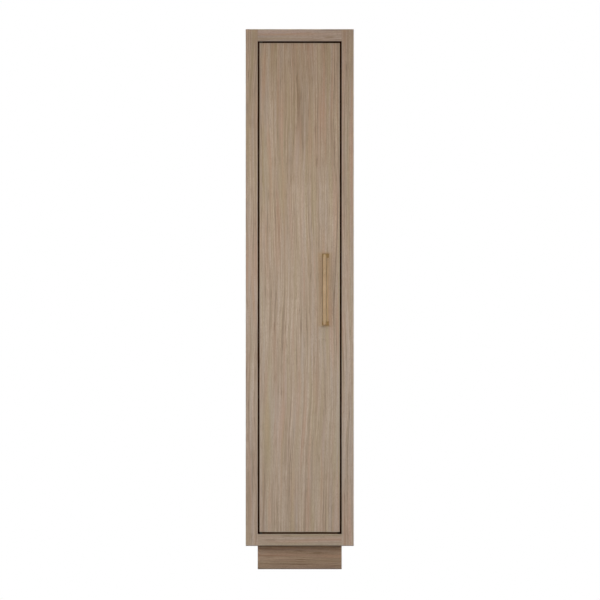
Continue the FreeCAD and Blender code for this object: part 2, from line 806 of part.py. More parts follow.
for side, y, underside in pin_places:
    peg_link = doc.addObject("App::Link", "Copy")
    peg_link.LinkedObject = peg
    turn = FreeCAD.Rotation(AXES["z"], 0 if side < 0 else 180)
    peg_link.Placement = FreeCAD.Placement(FreeCAD.Vector(), turn)
    place(peg_link, f"{side} * inside_half", y, underside)
    peg_links.append(peg_link)
node(group(*peg_links), "shelf_pins")

# Magnetic catch under the fixed shelf, its strike on the door, and two bumpers on the stop
node(
    cut(
        joined(
            block(
                "catch_length", "catch_body_depth", "catch_height", "catch_x - catch_length / 2",
                "catch_front", "catch_top - catch_height",
            ),
            block(
                "catch_length", "catch_flange_depth", "catch_flange_thickness",
                "catch_x - catch_length / 2", "catch_front", "catch_top - catch_flange_thickness",
            ),
        ),
        catch_screw_holes,
    ),
    "catch_housing",
)
strike_screw_places = [
    (
        f"catch_x + {side} * {STRIKE_SCREW_SHARE} * strike_length / 2",
        "door_back + strike_thickness",
        "catch_z",
    )
    for side in (-1, 1)
]
node(copies(wood_screw, strike_screw_places, FORWARD), "strike_screws")
strike_screw_holes = copies(wood_screw_hole, strike_screw_places, FORWARD)
node(
    cut(
        block(
            "strike_length", "strike_thickness", "strike_height", "catch_x - strike_length / 2", "door_back",
            "catch_z - strike_height / 2",
        ),
        strike_screw_holes,
    ),
    "catch_strike_plate",
)
bumper = cylinder("bumper_diameter", "bumper_thickness")
bumper_places = [
    ("bumper_x", "case_front", z)
    for z in ("door_low + bumper_end_distance", "door_high - bumper_end_distance")
]
node(copies(bumper, bumper_places, FORWARD), "door_bumpers")

# Bar pull: a round bar whose ends are let into two wider posts, off their middle, screwed from behind the door.
# The bar stands a little proud of the posts' fronts, so their sockets are open there
bar = joined(
    cylinder(
        "pull_diameter", "bar_length - 2 * pull_end_ease", "pull_x", "bar_y", "bar_low + pull_end_ease",
    ),
    cone(
        "pull_diameter - 2 * pull_end_ease", "pull_diameter", "pull_end_ease", "pull_x", "bar_y", "bar_low",
    ),
    cone(
        "pull_diameter", "pull_diameter - 2 * pull_end_ease", "pull_end_ease", "pull_x", "bar_y",
        "bar_low + bar_length - pull_end_ease",
    ),
)
node(bar, "pull_bar")
bar_socket = cylinder("pull_diameter + 2 * fit", "bar_length + 2 * fit", "pull_x", "bar_y", "bar_low - fit")
pull_screw_places = [
    ("pull_x", "door_back", z) for z in ("pull_low + post_height / 2", "post_top_low + post_height / 2")
]
pull_screw_run = "door_thickness + pull_screw_bite"
pull_screw_head_recess = joined(
    *[
        block(
            one, other, "screw_recess + overrun", f"-({one}) / 2", f"-({other}) / 2",
            "-pull_screw_head_height - overrun",
        )
        for one, other in (
            ("pull_screw_head_diameter / 2", "screw_slot"),
            ("screw_slot", "pull_screw_head_diameter / 2"),
        )
    ]
)
pull_screw = cut(
    joined(
        cone(
            f"pull_screw_head_diameter * {FLAT_TOP_SHARE}", "pull_screw_head_diameter",
            "pull_screw_head_height", z="-pull_screw_head_height",
        ),
        cylinder("pull_screw_diameter", pull_screw_run),
    ),
    pull_screw_head_recess,
)
node(copies(pull_screw, pull_screw_places, FORWARD), "pull_screws")
pull_screw_hole = cylinder("pull_screw_diameter + 2 * fit", f"{pull_screw_run} + overrun + fit", z="-overrun")
pull_screw_holes = copies(pull_screw_hole, pull_screw_places, FORWARD)
for name, z in (("pull_upper_post", "post_top_low"), ("pull_lower_post", "pull_low")):
    post = board(
        f"{name}_blank", "post_left", "post_front", z, "post_width", "door_front - post_front",
        "post_height", eased=("front",), ease="post_ease",
    )
    node(cut(post, bar_socket, pull_screw_holes), name)

# Door: a veneered slab with a band on each edge
door_core = board(
    "door_panel_board", "door_left + band_thickness", "door_front", "door_low + band_thickness",
    "door_width - 2 * band_thickness", "door_thickness", "door_height - 2 * band_thickness",
)
door_tools = (*door_mortises, *door_screw_holes, pull_screw_holes, strike_screw_holes)
node(cut(door_core, *door_tools), "door_panel")
for name, x, outer in (("left", "door_left", "left"), ("right", "door_right - band_thickness", "right")):
    label = f"door_edge_band_{name}"
    node(
        board(
            label, x, "door_front", "door_low", "band_thickness", "door_thickness", "door_height",
            eased=(outer,), ease="band_ease",
        ),
        label,
    )
for name, z, outer, mortise in (
    ("top", "door_high - band_thickness", "top", door_mortises[0]),
    ("bottom", "door_low", "bottom", door_mortises[1]),
):
    label = f"door_edge_band_{name}"
    holes = door_screw_holes[0] if name == "top" else door_screw_holes[1]
    band = board(
        f"{label}_strip", "door_left + band_thickness", "door_front", z, "door_width - 2 * band_thickness",
        "door_thickness", "band_thickness", eased=(outer,), sharp=("left", "right"), ease="band_ease",
    )
    node(cut(band, mortise, holes), label)

doc.recompute()

# Nothing is written unless every object is sound and every recess really cuts
for thing in doc.Objects:
    faults = [state for state in thing.State if state in ("Invalid", "Error")]
    if faults:
        raise RuntimeError(f"{thing.Label} is {faults}")
    if thing.TypeId == "PartDesign::Pocket":
        removed = thing.BaseFeature.Shape.Volume - thing.Shape.Volume
        if removed <= TOLERANCE:
            raise RuntimeError(f"{thing.Label} cuts nothing")
for thing in nodes:
    if thing.Shape.isNull() or not thing.Shape.isValid() or not thing.Shape.Solids:
        raise RuntimeError(f"{thing.Label} has no sound shape")

os.makedirs("parts", exist_ok=True)
for thing in nodes:
    thing.Shape.exportStep(f"parts/{thing.Label}.step")
whole = Part.makeCompound([thing.Shape for thing in nodes]).BoundBox
print(f"{len(nodes)} nodes, {whole.XLength:.2f} x {whole.YLength:.2f} x {whole.ZLength:.2f} mm")
print(f"y from {whole.YMin:.2f} to {whole.YMax:.2f}, z from {whole.ZMin:.2f} to {whole.ZMax:.2f}")
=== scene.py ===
# %% [markdown]
# # A tall storage cabinet
#
# The cabinet is a narrow case of greige oak on a set-back plinth, with a flat frame round one inset slab
# door and a slim brass pull. Every board, screw and hinge already exists as an exact solid in the packed
# frame, so this lesson gives the solids their finish, and models a few small parts again with more detail.
#
# The frame comes first. Each of its nodes is one piece of the cabinet, in metres, standing where it
# belongs.

# %% Load the frame
import math

import bmesh
import bpy
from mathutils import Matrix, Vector


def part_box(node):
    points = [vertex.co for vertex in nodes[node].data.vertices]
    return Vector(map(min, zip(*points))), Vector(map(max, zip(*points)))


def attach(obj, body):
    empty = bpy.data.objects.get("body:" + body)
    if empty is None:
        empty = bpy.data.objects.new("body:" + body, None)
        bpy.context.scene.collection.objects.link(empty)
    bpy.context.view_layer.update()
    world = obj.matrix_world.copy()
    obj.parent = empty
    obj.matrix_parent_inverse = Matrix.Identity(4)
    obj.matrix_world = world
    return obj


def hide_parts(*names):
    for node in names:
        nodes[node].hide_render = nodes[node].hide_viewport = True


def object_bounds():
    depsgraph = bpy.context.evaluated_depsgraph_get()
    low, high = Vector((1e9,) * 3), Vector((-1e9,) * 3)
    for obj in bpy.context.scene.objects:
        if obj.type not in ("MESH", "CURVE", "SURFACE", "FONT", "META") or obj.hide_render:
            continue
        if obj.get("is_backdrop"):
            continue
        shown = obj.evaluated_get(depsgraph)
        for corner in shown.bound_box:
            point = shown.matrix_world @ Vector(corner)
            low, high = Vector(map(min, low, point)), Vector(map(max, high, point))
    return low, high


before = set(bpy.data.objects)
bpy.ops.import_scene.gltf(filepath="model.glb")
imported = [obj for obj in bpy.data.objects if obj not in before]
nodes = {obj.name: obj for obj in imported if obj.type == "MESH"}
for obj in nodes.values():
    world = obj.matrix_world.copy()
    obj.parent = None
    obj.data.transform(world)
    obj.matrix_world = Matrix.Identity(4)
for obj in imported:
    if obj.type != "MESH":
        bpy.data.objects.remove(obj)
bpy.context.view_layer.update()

# %% [markdown]
# Lengths are easier to read in millimetres, and colours as a paint chart gives them. Blender wants metres,
# and colours on a linear scale, so a factor and a small function translate.

# %% Units and colours
MM = 0.001


def paint(red, green, blue):
    """A colour from 0 to 255 a channel, as Blender's nodes want it."""
    channels = [value / 255 for value in (red, green, blue)]
    linear = [c / 12.92 if c <= 0.04045 else ((c + 0.055) / 1.055) ** 2.4 for c in channels]
    return (*linear, 1.0)


def box_size(name):
    low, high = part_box(name)
    return high - low


print("door panel in mm:", [round(side / MM, 1) for side in box_size("door_panel")])

# %% [markdown]
# ## Building node trees from a script
#
# A material is a tree of nodes, and so is a Geometry Nodes modifier. Clicking them together is quick for
# one, but this cabinet needs dozens that share their parts. One helper adds a node of any kind: its sockets
# take either a plain value or the output of a node before it, so that a tree reads from top to bottom like
# a recipe.

# %% A helper that adds a node
def add(tree, kind, sockets=None, **settings):
    """Adds a node, sets its settings, then fills its sockets with values or with other nodes' outputs."""
    made = tree.nodes.new(kind)
    for name, setting in settings.items():
        setattr(made, name, setting)
    for socket, filling in (sockets or {}).items():
        if isinstance(filling, bpy.types.NodeSocket):
            tree.links.new(filling, made.inputs[socket])
        else:
            made.inputs[socket].default_value = filling
    return made


# %% [markdown]
# Arithmetic, vectors, noise, a soft step and a blend of two colours do nearly all the work. Each gets a
# short name.

# %% Short names for arithmetic and vectors
def maths(tree, operation, *values):
    return add(tree, "ShaderNodeMath", dict(enumerate(values)), operation=operation).outputs[0]


def scaled(tree, value, factor):
    return maths(tree, "MULTIPLY", value, factor)


def vector_of(tree, **parts):
    """A vector from its X, Y and Z. A part that isn't named is zero."""
    return add(tree, "ShaderNodeCombineXYZ", parts).outputs[0]


def stretched(tree, vector, by):
    """The vector multiplied, by one number or by three, which squeezes a pattern that reads it."""
    factors = (by, by, by) if isinstance(by, float) else by
    return add(tree, "ShaderNodeVectorMath", {0: vector, 1: factors}, operation="MULTIPLY").outputs[0]


# %% Short names for noise, steps and blends
def noise(tree, vector, detail=0.0):
    """Soft noise about 0.5, one blob to each unit of the vector."""
    sockets = {"Vector": vector, "Scale": 1.0, "Detail": detail}
    return add(tree, "ShaderNodeTexNoise", sockets).outputs["Fac"]


def ramped(tree, value, start, end, low=0.0, high=1.0):
    """A soft step: low below start, high above end."""
    sockets = {"Value": value, "From Min": start, "From Max": end, "To Min": low, "To Max": high}
    return add(tree, "ShaderNodeMapRange", sockets, interpolation_type="SMOOTHSTEP").outputs[0]


def blended(tree, amount, first, second, kind="MIX"):
    sockets = {"Factor": amount, 6: first, 7: second}
    made = add(tree, "ShaderNodeMix", sockets, data_type="RGBA", blend_type=kind, clamp_factor=True)
    return made.outputs[2]


def tinted(tree, colour, tint, amount=1.0):
    """The colour multiplied by the tint, as a thin stain does it."""
    return blended(tree, amount, colour, tint, kind="MULTIPLY")


# %% [markdown]
# ## Oak
#
# A board is a slice through a log, so its figure isn't painted on: it is where the face cuts the growth
# rings. An image would repeat and stop at the edges. Here every point of the board asks how far it lies
# across the rings, and all the figure follows from that number, on faces, edges and ends alike.
#
# This oak is rift cut: the rings meet the face at a slant, which gives long, straight, even lines. The
# finer layers, from wide to narrow, are bands of a tone, streaks, ring lines, short dashes and flecks, and
# open pores.

# %% What the oak looks like
RING_SLANT = math.radians(38)
OAK_DARK = paint(128, 108, 88)
OAK_PALE = paint(184, 168, 150)
OAK_PINK = paint(176, 142, 122)
OAK_OLIVE = paint(162, 150, 118)
OAK_GREY = paint(170, 160, 150)
OAK_PORE = paint(84, 64, 48)
OAK_END_STAIN = paint(196, 182, 168)

# %% [markdown]
# The group below has three inputs. Place is a point of the board turned so that the grain runs along z, End
# says how much the face there cuts straight across the grain, and Figure is how strong the lines are. It
# gives back a colour, a roughness and a height.

# %% The oak node group
def group_with(name, kind, takes, gives):
    """An empty node group with named inputs and outputs, and its two end nodes."""
    tree = bpy.data.node_groups.new(name, kind)
    for direction, sockets in (("INPUT", takes), ("OUTPUT", gives)):
        for socket_name, socket_kind in sockets.items():
            kind_name = f"NodeSocket{socket_kind}"
            tree.interface.new_socket(name=socket_name, in_out=direction, socket_type=kind_name)
    return tree, add(tree, "NodeGroupInput").outputs, add(tree, "NodeGroupOutput").inputs


oak, oak_in, oak_out = group_with(
    "Oak grain",
    "ShaderNodeTree",
    {"Place": "Vector", "End": "Float", "Figure": "Float"},
    {"Colour": "Color", "Roughness": "Float", "Height": "Float"},
)

# %% [markdown]
# First the distance across the rings. A tree never grows quite straight, so a slow wander over a metre or
# two and a quick wobble over a few centimetres are added to it.

# %% Distance across the rings
WANDER = 60 * MM
WOBBLE = 5 * MM

place = oak_in["Place"]
parts = add(oak, "ShaderNodeSeparateXYZ", {0: place}).outputs
slow = noise(oak, stretched(oak, place, (3.0, 3.0, 1.1)), detail=1.0)
quick = noise(oak, stretched(oak, place, (30.0, 30.0, 7.0)), detail=1.0)
wander = scaled(oak, maths(oak, "SUBTRACT", slow, 0.5), WANDER)
wobble = scaled(oak, maths(oak, "SUBTRACT", quick, 0.5), WOBBLE)
across_x = scaled(oak, parts["X"], math.cos(RING_SLANT))
across_y = scaled(oak, parts["Y"], math.sin(RING_SLANT))
across = maths(oak, "ADD", maths(oak, "ADD", across_x, across_y), maths(oak, "ADD", wander, wobble))
ring_place = vector_of(oak, X=across, Z=parts["Z"])

# %% [markdown]
# Each layer reads the same place, squeezed to its own width and length. A width of 16 mm and a length of
# 1.1 m gives bands, and 2.4 mm by 70 mm gives dashes.

# %% The layers of the figure
def layer(width, length, detail=0.0):
    """Noise drawn out along the grain, with features of a width and a length in millimetres."""
    squeeze = (1 / (width * MM), 1.0, 1 / (length * MM))
    return noise(oak, stretched(oak, ring_place, squeeze), detail)


bands = layer(16, 1100)
streaks = layer(5.2, 640, detail=1.0)
ring_lines = layer(2.3, 420)
dashes = ramped(oak, layer(2.4, 70), 0.56, 0.74)
flecks = ramped(oak, layer(2.2, 80), 0.58, 0.78)
mineral = ramped(oak, layer(9, 700), 0.64, 0.78)

# %% [markdown]
# The pores are the vessels of the wood, cut open: slots a quarter of a millimetre wide and several
# millimetres long, crowded where growth was fast in spring. The rays run the other way and show as faint
# pale flecks.

# %% Pores and rays
PORES_A_METRE = (3600.0, 3600.0, 125.0)
RAYS_A_METRE = (420.0, 900.0, 60.0)

pore_noise = noise(oak, stretched(oak, place, PORES_A_METRE))
spring = ramped(oak, ring_lines, 0.40, 0.60, 0.35, 1.0)
pores = maths(oak, "MULTIPLY", ramped(oak, pore_noise, 0.60, 0.68), spring)
rays = ramped(oak, noise(oak, stretched(oak, place, RAYS_A_METRE)), 0.62, 0.78)

# %% [markdown]
# The layers add up to one tone from dark to pale. Three more layers decide where the oak leans towards
# pink, olive or grey, as a greige stain does on real oak. Last come the pores, and the ends, which drink
# more stain.

# %% The colour of the oak
MIDDLE_TONE = 0.60
LEANINGS = ((OAK_PINK, 15, 420, 0.52), (OAK_OLIVE, 22, 600, 0.50), (OAK_GREY, 13, 420, 0.45))
PORE_STRENGTH = 0.52

tone = MIDDLE_TONE
for part, strength in ((bands, 0.28), (streaks, 0.80), (ring_lines, 1.50)):
    lift = scaled(oak, maths(oak, "SUBTRACT", part, 0.5), strength)
    tone = maths(oak, "ADD", maths(oak, "MULTIPLY", lift, oak_in["Figure"]), tone)
for part, strength in ((dashes, -0.32), (flecks, 0.18), (mineral, -0.25), (rays, 0.10)):
    tone = maths(oak, "ADD", tone, scaled(oak, part, strength))
colour = blended(oak, tone, OAK_DARK, OAK_PALE)
for shade, width, length, most in LEANINGS:
    leaning = ramped(oak, layer(width, length, detail=1.0), 0.46, 0.76, 0.0, most)
    colour = blended(oak, leaning, colour, shade)
colour = blended(oak, scaled(oak, pores, PORE_STRENGTH), colour, OAK_PORE)
colour = blended(oak, oak_in["End"], colour, tinted(oak, colour, OAK_END_STAIN))

# %% [markdown]
# Matt lacquer fills the pores only partly, so they stay a little lower and duller than the wood between
# them.

# %% Roughness and height of the oak
LACQUER_ROUGHNESS = 0.50
PORE_ROUGHNESS = 0.72

roughness = ramped(oak, pores, 0.0, 1.0, LACQUER_ROUGHNESS, PORE_ROUGHNESS)
height = maths(oak, "ADD", scaled(oak, pores, -1.0), scaled(oak, ring_lines, 0.25))
oak.links.new(colour, oak_out["Colour"])
oak.links.new(roughness, oak_out["Roughness"])
oak.links.new(height, oak_out["Height"])
print("the whole oak group:", len(oak.nodes), "nodes")

# %% [markdown]
# ## What every material shares
#
# A material ends in Blender's all-round shader, whose own sockets hold what is the same all over, such as
# the gloss of a lacquer. Wood also needs its place in the log: two boards that meet were never one piece of
# tree, so no figure may run on from one to the next. A Mapping node turns the grain to the board's length
# and shifts each board to a fresh part of the log, which its number picks.

# %% Helpers for materials
TURN_TO_GRAIN = {"x": (0.0, -math.pi / 2, 0.0), "y": (math.pi / 2, 0.0, 0.0), "z": (0.0, 0.0, 0.0)}
LOG_STEP = Vector((0.731, 0.417, 3.19))


def new_material(name):
    """An empty node material and its tree."""
    material = bpy.data.materials.new(name)
    material.use_nodes = True
    material.node_tree.nodes.clear()
    return material, material.node_tree


def surfaced(tree, sockets):
    """Ends a material with the all-round shader, its sockets filled."""
    shader = add(tree, "ShaderNodeBsdfPrincipled", sockets).outputs[0]
    add(tree, "ShaderNodeOutputMaterial", {"Surface": shader})


def bumped(tree, height, depth):
    """A normal that tilts as the height says, for relief of a depth in millimetres."""
    return add(tree, "ShaderNodeBump", {"Height": height, "Strength": 1.0, "Distance": depth * MM}).outputs[0]


def turned_to_grain(tree, along, number):
    """A place in the log, with the grain along z, for a piece whose grain runs along x, y or z."""
    spot = add(tree, "ShaderNodeTexCoord").outputs["Object"]
    sockets = {"Vector": spot, "Rotation": TURN_TO_GRAIN[along], "Location": LOG_STEP * number}
    return add(tree, "ShaderNodeMapping", sockets).outputs[0]


def dress(name, material):
    """Gives a node of the frame a new material in place of its plain one."""
    for slot in nodes[name].material_slots:
        slot.material = material


# %% [markdown]
# ## The oak boards
#
# Some marks on the boards are painted light and shade. A dark line along their lowest edge and under the
# case is painted shade. On the door's face, a warm, slightly darker band round the pull is painted shade
# with a warm bounce from the brass, and a paler strip between the bar and its posts' edges is the painted
# light that the bar reflects onto the wood. Each mark is a soft step on the board's own coordinates,
# measured from the pull's real edges, so it stays put when the door swings.

# %% Lines of stain and marks of hands
# Painted warm shade round the pull, and painted light reflected by the brass beside the bar
PAINTED_WARM_SHADE = (0.98, 0.90, 0.77, 1.0)
PAINTED_BRASS_GLOW = (1.24, 1.20, 1.08, 1.0)
WARM_SHADE_FADE = (16 * MM, 40 * MM)
END_FADE = (0.0, 14 * MM)
FACE_FADE = (1 * MM, 3 * MM)
GLOW_RISE = (-4 * MM, -2 * MM)
GLOW_FADE = (-4 * MM, 1 * MM)


def stepped(tree, value, edge, fade, low=0.0, high=1.0):
    """A soft step that starts and ends at two distances from an edge."""
    return ramped(tree, value, edge + fade[0], edge + fade[1], low, high)


def painted_shade_line(tree, spot, height, reach, least):
    """One, but least at a height, as painted shade. A negative reach fades downwards."""
    upwards = add(tree, "ShaderNodeSeparateXYZ", {0: spot}).outputs["Z"]
    return ramped(tree, upwards, height, height + reach, least, 1.0)


def painted_light_round_pull(tree, spot):
    """How much painted warm shade a spot of the door gets round the pull, and how much painted light the bar
    reflects onto it.
    """
    low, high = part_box("pull_bar")
    post_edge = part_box("pull_upper_post")[1].x
    door_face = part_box("door_panel")[0].y
    here = add(tree, "ShaderNodeSeparateXYZ", {0: spot}).outputs
    sideways = maths(tree, "ABSOLUTE", maths(tree, "SUBTRACT", here["X"], (low.x + high.x) / 2))
    upwards = maths(tree, "ABSOLUTE", maths(tree, "SUBTRACT", here["Z"], (low.z + high.z) / 2))
    level = stepped(tree, upwards, (high.z - low.z) / 2, END_FADE, 1.0, 0.0)
    on_face = stepped(tree, here["Y"], door_face, FACE_FADE, 1.0, 0.0)
    within = maths(tree, "MULTIPLY", level, on_face)
    beside = stepped(tree, sideways, 0.0, WARM_SHADE_FADE, 1.0, 0.0)
    from_bar = stepped(tree, here["X"], high.x, GLOW_RISE)
    to_post_edge = stepped(tree, here["X"], post_edge, GLOW_FADE, 1.0, 0.0)
    lit_strip = maths(tree, "MULTIPLY", from_bar, to_post_edge)
    return maths(tree, "MULTIPLY", beside, within), maths(tree, "MULTIPLY", lit_strip, within)


# %% [markdown]
# The material of a board puts its part of the log into the oak group, and tints what comes out. The tint is
# the small difference between one board and the next that a joiner can't quite match away. Where the face
# looks along the grain, it is an end, which the angle between the two tells.

# %% Lacquered oak
AXES = {"x": (1.0, 0.0, 0.0), "y": (0.0, 1.0, 0.0), "z": (0.0, 0.0, 1.0)}


def oak_material(name, along, number, tint, figure=1.0, painted_shade_lines=(), paints_pull_light=False):
    """Lacquered oak with its grain along x, y or z. The number picks a part of the log."""
    material, tree = new_material(name)
    here = add(tree, "ShaderNodeTexCoord").outputs
    facing = add(tree, "ShaderNodeVectorMath", {0: here["Normal"], 1: AXES[along]}, operation="DOT_PRODUCT")
    end = ramped(tree, maths(tree, "ABSOLUTE", facing.outputs["Value"]), 0.7, 0.95)
    sockets = {"Place": turned_to_grain(tree, along, number), "End": end, "Figure": figure}
    grain = add(tree, "ShaderNodeGroup", sockets, node_tree=oak).outputs
    coloured = tinted(tree, grain["Colour"], (*tint, 1.0))
    # Lines of painted shade along the lowest edges and under the case
    for shade_step in painted_shade_lines:
        coloured = tinted(tree, coloured, painted_shade_line(tree, here["Object"], *shade_step))
    # The door's face gets painted warm shade round the pull and painted light reflected from the brass
    if paints_pull_light:
        warm_shade, brass_glow = painted_light_round_pull(tree, here["Object"])
        coloured = tinted(tree, coloured, PAINTED_WARM_SHADE, warm_shade)
        coloured = tinted(tree, coloured, PAINTED_BRASS_GLOW, brass_glow)
    surfaced(tree, {
        "Base Color": coloured,
        "Roughness": grain["Roughness"],
        "Normal": bumped(tree, grain["Height"], 0.12),
        "Specular IOR Level": 0.32,
    })
    return material


# %% [markdown]
# The stiles, the door and the sides have upright grain, and the rails, the plinth and the top have level
# grain. The plinth's boards are tinted darker and warmer.

# %% Dress the oak boards
SAME = (1.0, 1.0, 1.0)
OAK_BOARDS = {
    "left_stile": ("z", (0.985, 0.98, 0.995)),
    "right_stile": ("z", (1.00, 1.00, 1.02)),
    "top_rail": ("x", (1.06, 1.10, 1.22)),
    "bottom_rail": ("x", (0.93, 0.925, 0.93)),
    "door_panel": ("z", SAME),
    "door_edge_band_left": ("z", SAME),
    "door_edge_band_right": ("z", SAME),
    "door_edge_band_top": ("x", SAME),
    "door_edge_band_bottom": ("x", SAME),
    "left_side_panel": ("z", (0.99, 0.99, 0.98)),
    "right_side_panel": ("z", (1.01, 1.0, 1.0)),
    "top_panel": ("x", SAME),
    "plinth_front_board": ("x", (0.80, 0.71, 0.64)),
    "plinth_back_board": ("x", (0.82, 0.75, 0.68)),
    "plinth_left_board": ("y", (0.83, 0.75, 0.68)),
    "plinth_right_board": ("y", (0.83, 0.75, 0.68)),
}
RAIL_FIGURE = 0.75
case_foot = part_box("left_stile")[0].z
# Each line of painted shade is a height, how far it fades, and how dark it gets
CASE_PAINTED_SHADE = ((case_foot, 4 * MM, 0.20),)
PLINTH_PAINTED_SHADE = ((0.0, 5 * MM, 0.30), (case_foot, -5 * MM, 0.35))

for number, (name, (along, tint)) in enumerate(OAK_BOARDS.items(), start=1):
    painted_shade_lines = ()
    if name.startswith("plinth"):
        painted_shade_lines = PLINTH_PAINTED_SHADE
    elif name.endswith(("stile", "bottom_rail", "side_panel")):
        painted_shade_lines = CASE_PAINTED_SHADE
    figure = RAIL_FIGURE if name.endswith("rail") else 1.0
    paints_pull_light = name == "door_panel"
    dress(name, oak_material(f"oak_{name}", along, number, tint, figure, painted_shade_lines, paints_pull_light))
print(len(OAK_BOARDS), "oak boards outside")

# %% [markdown]
# Inside, the same oak has a thinner stain: a little paler and warmer. Shelves and floor run from side to
# side.

# %% Dress the boards inside
INSIDE_TINT = (1.08, 1.06, 1.03)
INSIDE_BOARDS = {
    "floor_panel": "x",
    "fixed_shelf": "x",
    "adjustable_shelf_1": "x",
    "adjustable_shelf_2": "x",
    "adjustable_shelf_3": "x",
    "adjustable_shelf_4": "x",
    "shelf_edge_bands": "x",
    "hanging_rail": "x",
    "back_panel": "z",
}
for number, (name, along) in enumerate(INSIDE_BOARDS.items(), start=len(OAK_BOARDS) + 1):
    dress(name, oak_material(f"oak_{name}", along, number, INSIDE_TINT))
print(len(INSIDE_BOARDS), "oak boards inside")

# %% [markdown]
# ## Softwood and dark stain
#
# The bearers under the floor and the blocks in the plinth never show in use, so a maker takes planed pine:
# wide pale rings with a narrow amber line, and no lacquer. The same trick works with fewer layers. The
# fraction of the distance across the rings rises from 0 to 1 over each ring, and its last part is the amber
# line.

# %% Pine for the bearers and blocks
PINE_PALE = paint(214, 186, 146)
PINE_AMBER = paint(176, 132, 84)
PINE_RINGS_A_METRE = (160.0, 95.0)
PINE_BEND = 9.0
FIRST_PINE_NUMBER = 40


def pine_material(name, along, number):
    material, tree = new_material(name)
    turned = turned_to_grain(tree, along, number)
    bend = noise(tree, stretched(tree, turned, (9.0, 9.0, 2.0)), detail=1.0)
    side = add(tree, "ShaderNodeSeparateXYZ", {0: turned}).outputs
    rings_x = scaled(tree, side["X"], PINE_RINGS_A_METRE[0])
    rings_y = scaled(tree, side["Y"], PINE_RINGS_A_METRE[1])
    rings = maths(tree, "ADD", maths(tree, "ADD", rings_x, rings_y), scaled(tree, bend, PINE_BEND))
    ring = maths(tree, "FRACT", rings)
    late = ramped(tree, ring, 0.45, 0.97)
    fibres = noise(tree, stretched(tree, turned, (900.0, 900.0, 22.0)), detail=1.0)
    pine = blended(tree, scaled(tree, late, 0.75), PINE_PALE, PINE_AMBER)
    pine = blended(tree, ramped(tree, fibres, 0.45, 0.75, 0.0, 0.22), pine, PINE_AMBER)
    surfaced(tree, {
        "Base Color": pine,
        "Roughness": ramped(tree, fibres, 0.3, 0.7, 0.62, 0.80),
        "Normal": bumped(tree, fibres, 0.10),
        "Specular IOR Level": 0.25,
    })
    return material


PINE_PIECES = {
    "front_bearer": "x",
    "rear_bearer": "x",
    "left_bearer": "y",
    "right_bearer": "y",
    "plinth_corner_blocks": "z",
    "frame_dowels": "x",
}
for number, (name, along) in enumerate(PINE_PIECES.items(), start=FIRST_PINE_NUMBER):
    dress(name, pine_material(f"pine_{name}", along, number))

# %% [markdown]
# The strips behind the door are stained nearly black, so that the gap round the door reads as one dark
# line; the near-black also stands in for the shade deep in the gap. The stain is thin: a trace of brown grain
# still shows when the door stands open. The top strip is darkened further as painted shade, and the bottom
# strip is lifted paler as painted light, where light from above reaches into the gap.

# %% Dark stained strips
STAIN_DEEP = paint(34, 15, 11)
STAIN_WORN = paint(48, 24, 19)
STAIN_PAINTED_LIT = paint(104, 76, 56)
FIRST_STAINED_NUMBER = 50


def stained_material(name, along, number, shade, painted_lit):
    """Stained wood. The shade factor darkens it as painted shade, and the last number lifts it towards a
    paler brown as painted light.
    """
    material, tree = new_material(name)
    turned = turned_to_grain(tree, along, number)
    fibres = noise(tree, stretched(tree, turned, (700.0, 700.0, 14.0)), detail=2.0)
    stain = blended(tree, ramped(tree, fibres, 0.40, 0.75), STAIN_DEEP, STAIN_WORN)
    stain = tinted(tree, stain, (shade, shade, shade, 1.0))
    surfaced(tree, {
        "Base Color": blended(tree, painted_lit, stain, STAIN_PAINTED_LIT),
        "Roughness": ramped(tree, fibres, 0.3, 0.7, 0.60, 0.75),
        "Normal": bumped(tree, fibres, 0.08),
        "Specular IOR Level": 0.0,
    })
    return material


# Each strip: its grain, a factor that darkens it as painted shade, and how far it is lifted as painted light
STAINED_STRIPS = {
    "top_stop": ("x", 0.40, 0.0),
    "bottom_stop": ("x", 1.0, 0.70),
    "hinge_side_stop": ("z", 0.95, 0.0),
    "catch_side_stop": ("z", 1.0, 0.0),
}
for number, (name, (along, shade, painted_lit)) in enumerate(STAINED_STRIPS.items(), start=FIRST_STAINED_NUMBER):
    dress(name, stained_material(f"stained_{name}", along, number, shade, painted_lit))
print(len(PINE_PIECES), "pieces of pine,", len(STAINED_STRIPS), "stained strips")

# %% [markdown]
# ## Metal
#
# Metal has no colour of its own the way wood has. It tints what it reflects, so its look lies in how
# blurred the reflection is. The pull is satin brass: drawn through a fine abrasive along its length, so
# hair-thin lines blur it sideways, and handled for a while, so it has dulled unevenly.

# %% A metal with brushed lines
def metal_material(name, bright, dull, roughness, brush, cloud=18.0, relief=0.02):
    """A metal with brushed lines, squeezed by one number or by three, and dulled in soft clouds."""
    material, tree = new_material(name)
    here = add(tree, "ShaderNodeTexCoord").outputs["Object"]
    hairs = noise(tree, stretched(tree, here, brush), detail=2.0)
    clouds = noise(tree, stretched(tree, here, cloud), detail=2.0)
    age = maths(tree, "ADD", scaled(tree, hairs, 0.5), scaled(tree, clouds, 0.5))
    surfaced(tree, {
        "Base Color": blended(tree, ramped(tree, age, 0.35, 0.65), bright, dull),
        "Metallic": 1.0,
        "Roughness": ramped(tree, age, 0.3, 0.7, roughness - 0.05, roughness + 0.07),
        "Normal": bumped(tree, hairs, relief),
    })
    return material


BRASS_LINES = (2500.0, 2500.0, 12.0)
brass = metal_material("satin_brass", paint(178, 153, 122), paint(160, 135, 104), 0.22, BRASS_LINES)
# The posts get a darker brass, which paints the shade and dark reflections on them behind the bar
shaded_post_brass = metal_material("shaded_post_brass", paint(144, 118, 82), paint(130, 104, 70), 0.34, BRASS_LINES)
dress("pull_bar", brass)
for name in ("pull_upper_post", "pull_lower_post"):
    dress(name, shaded_post_brass)

# %% [markdown]
# The hidden hinges are blackened, the screws and nuts are zinc plated with a cool grey gloss, and the shelf
# pegs are nickel, which is a little warmer and clearer.

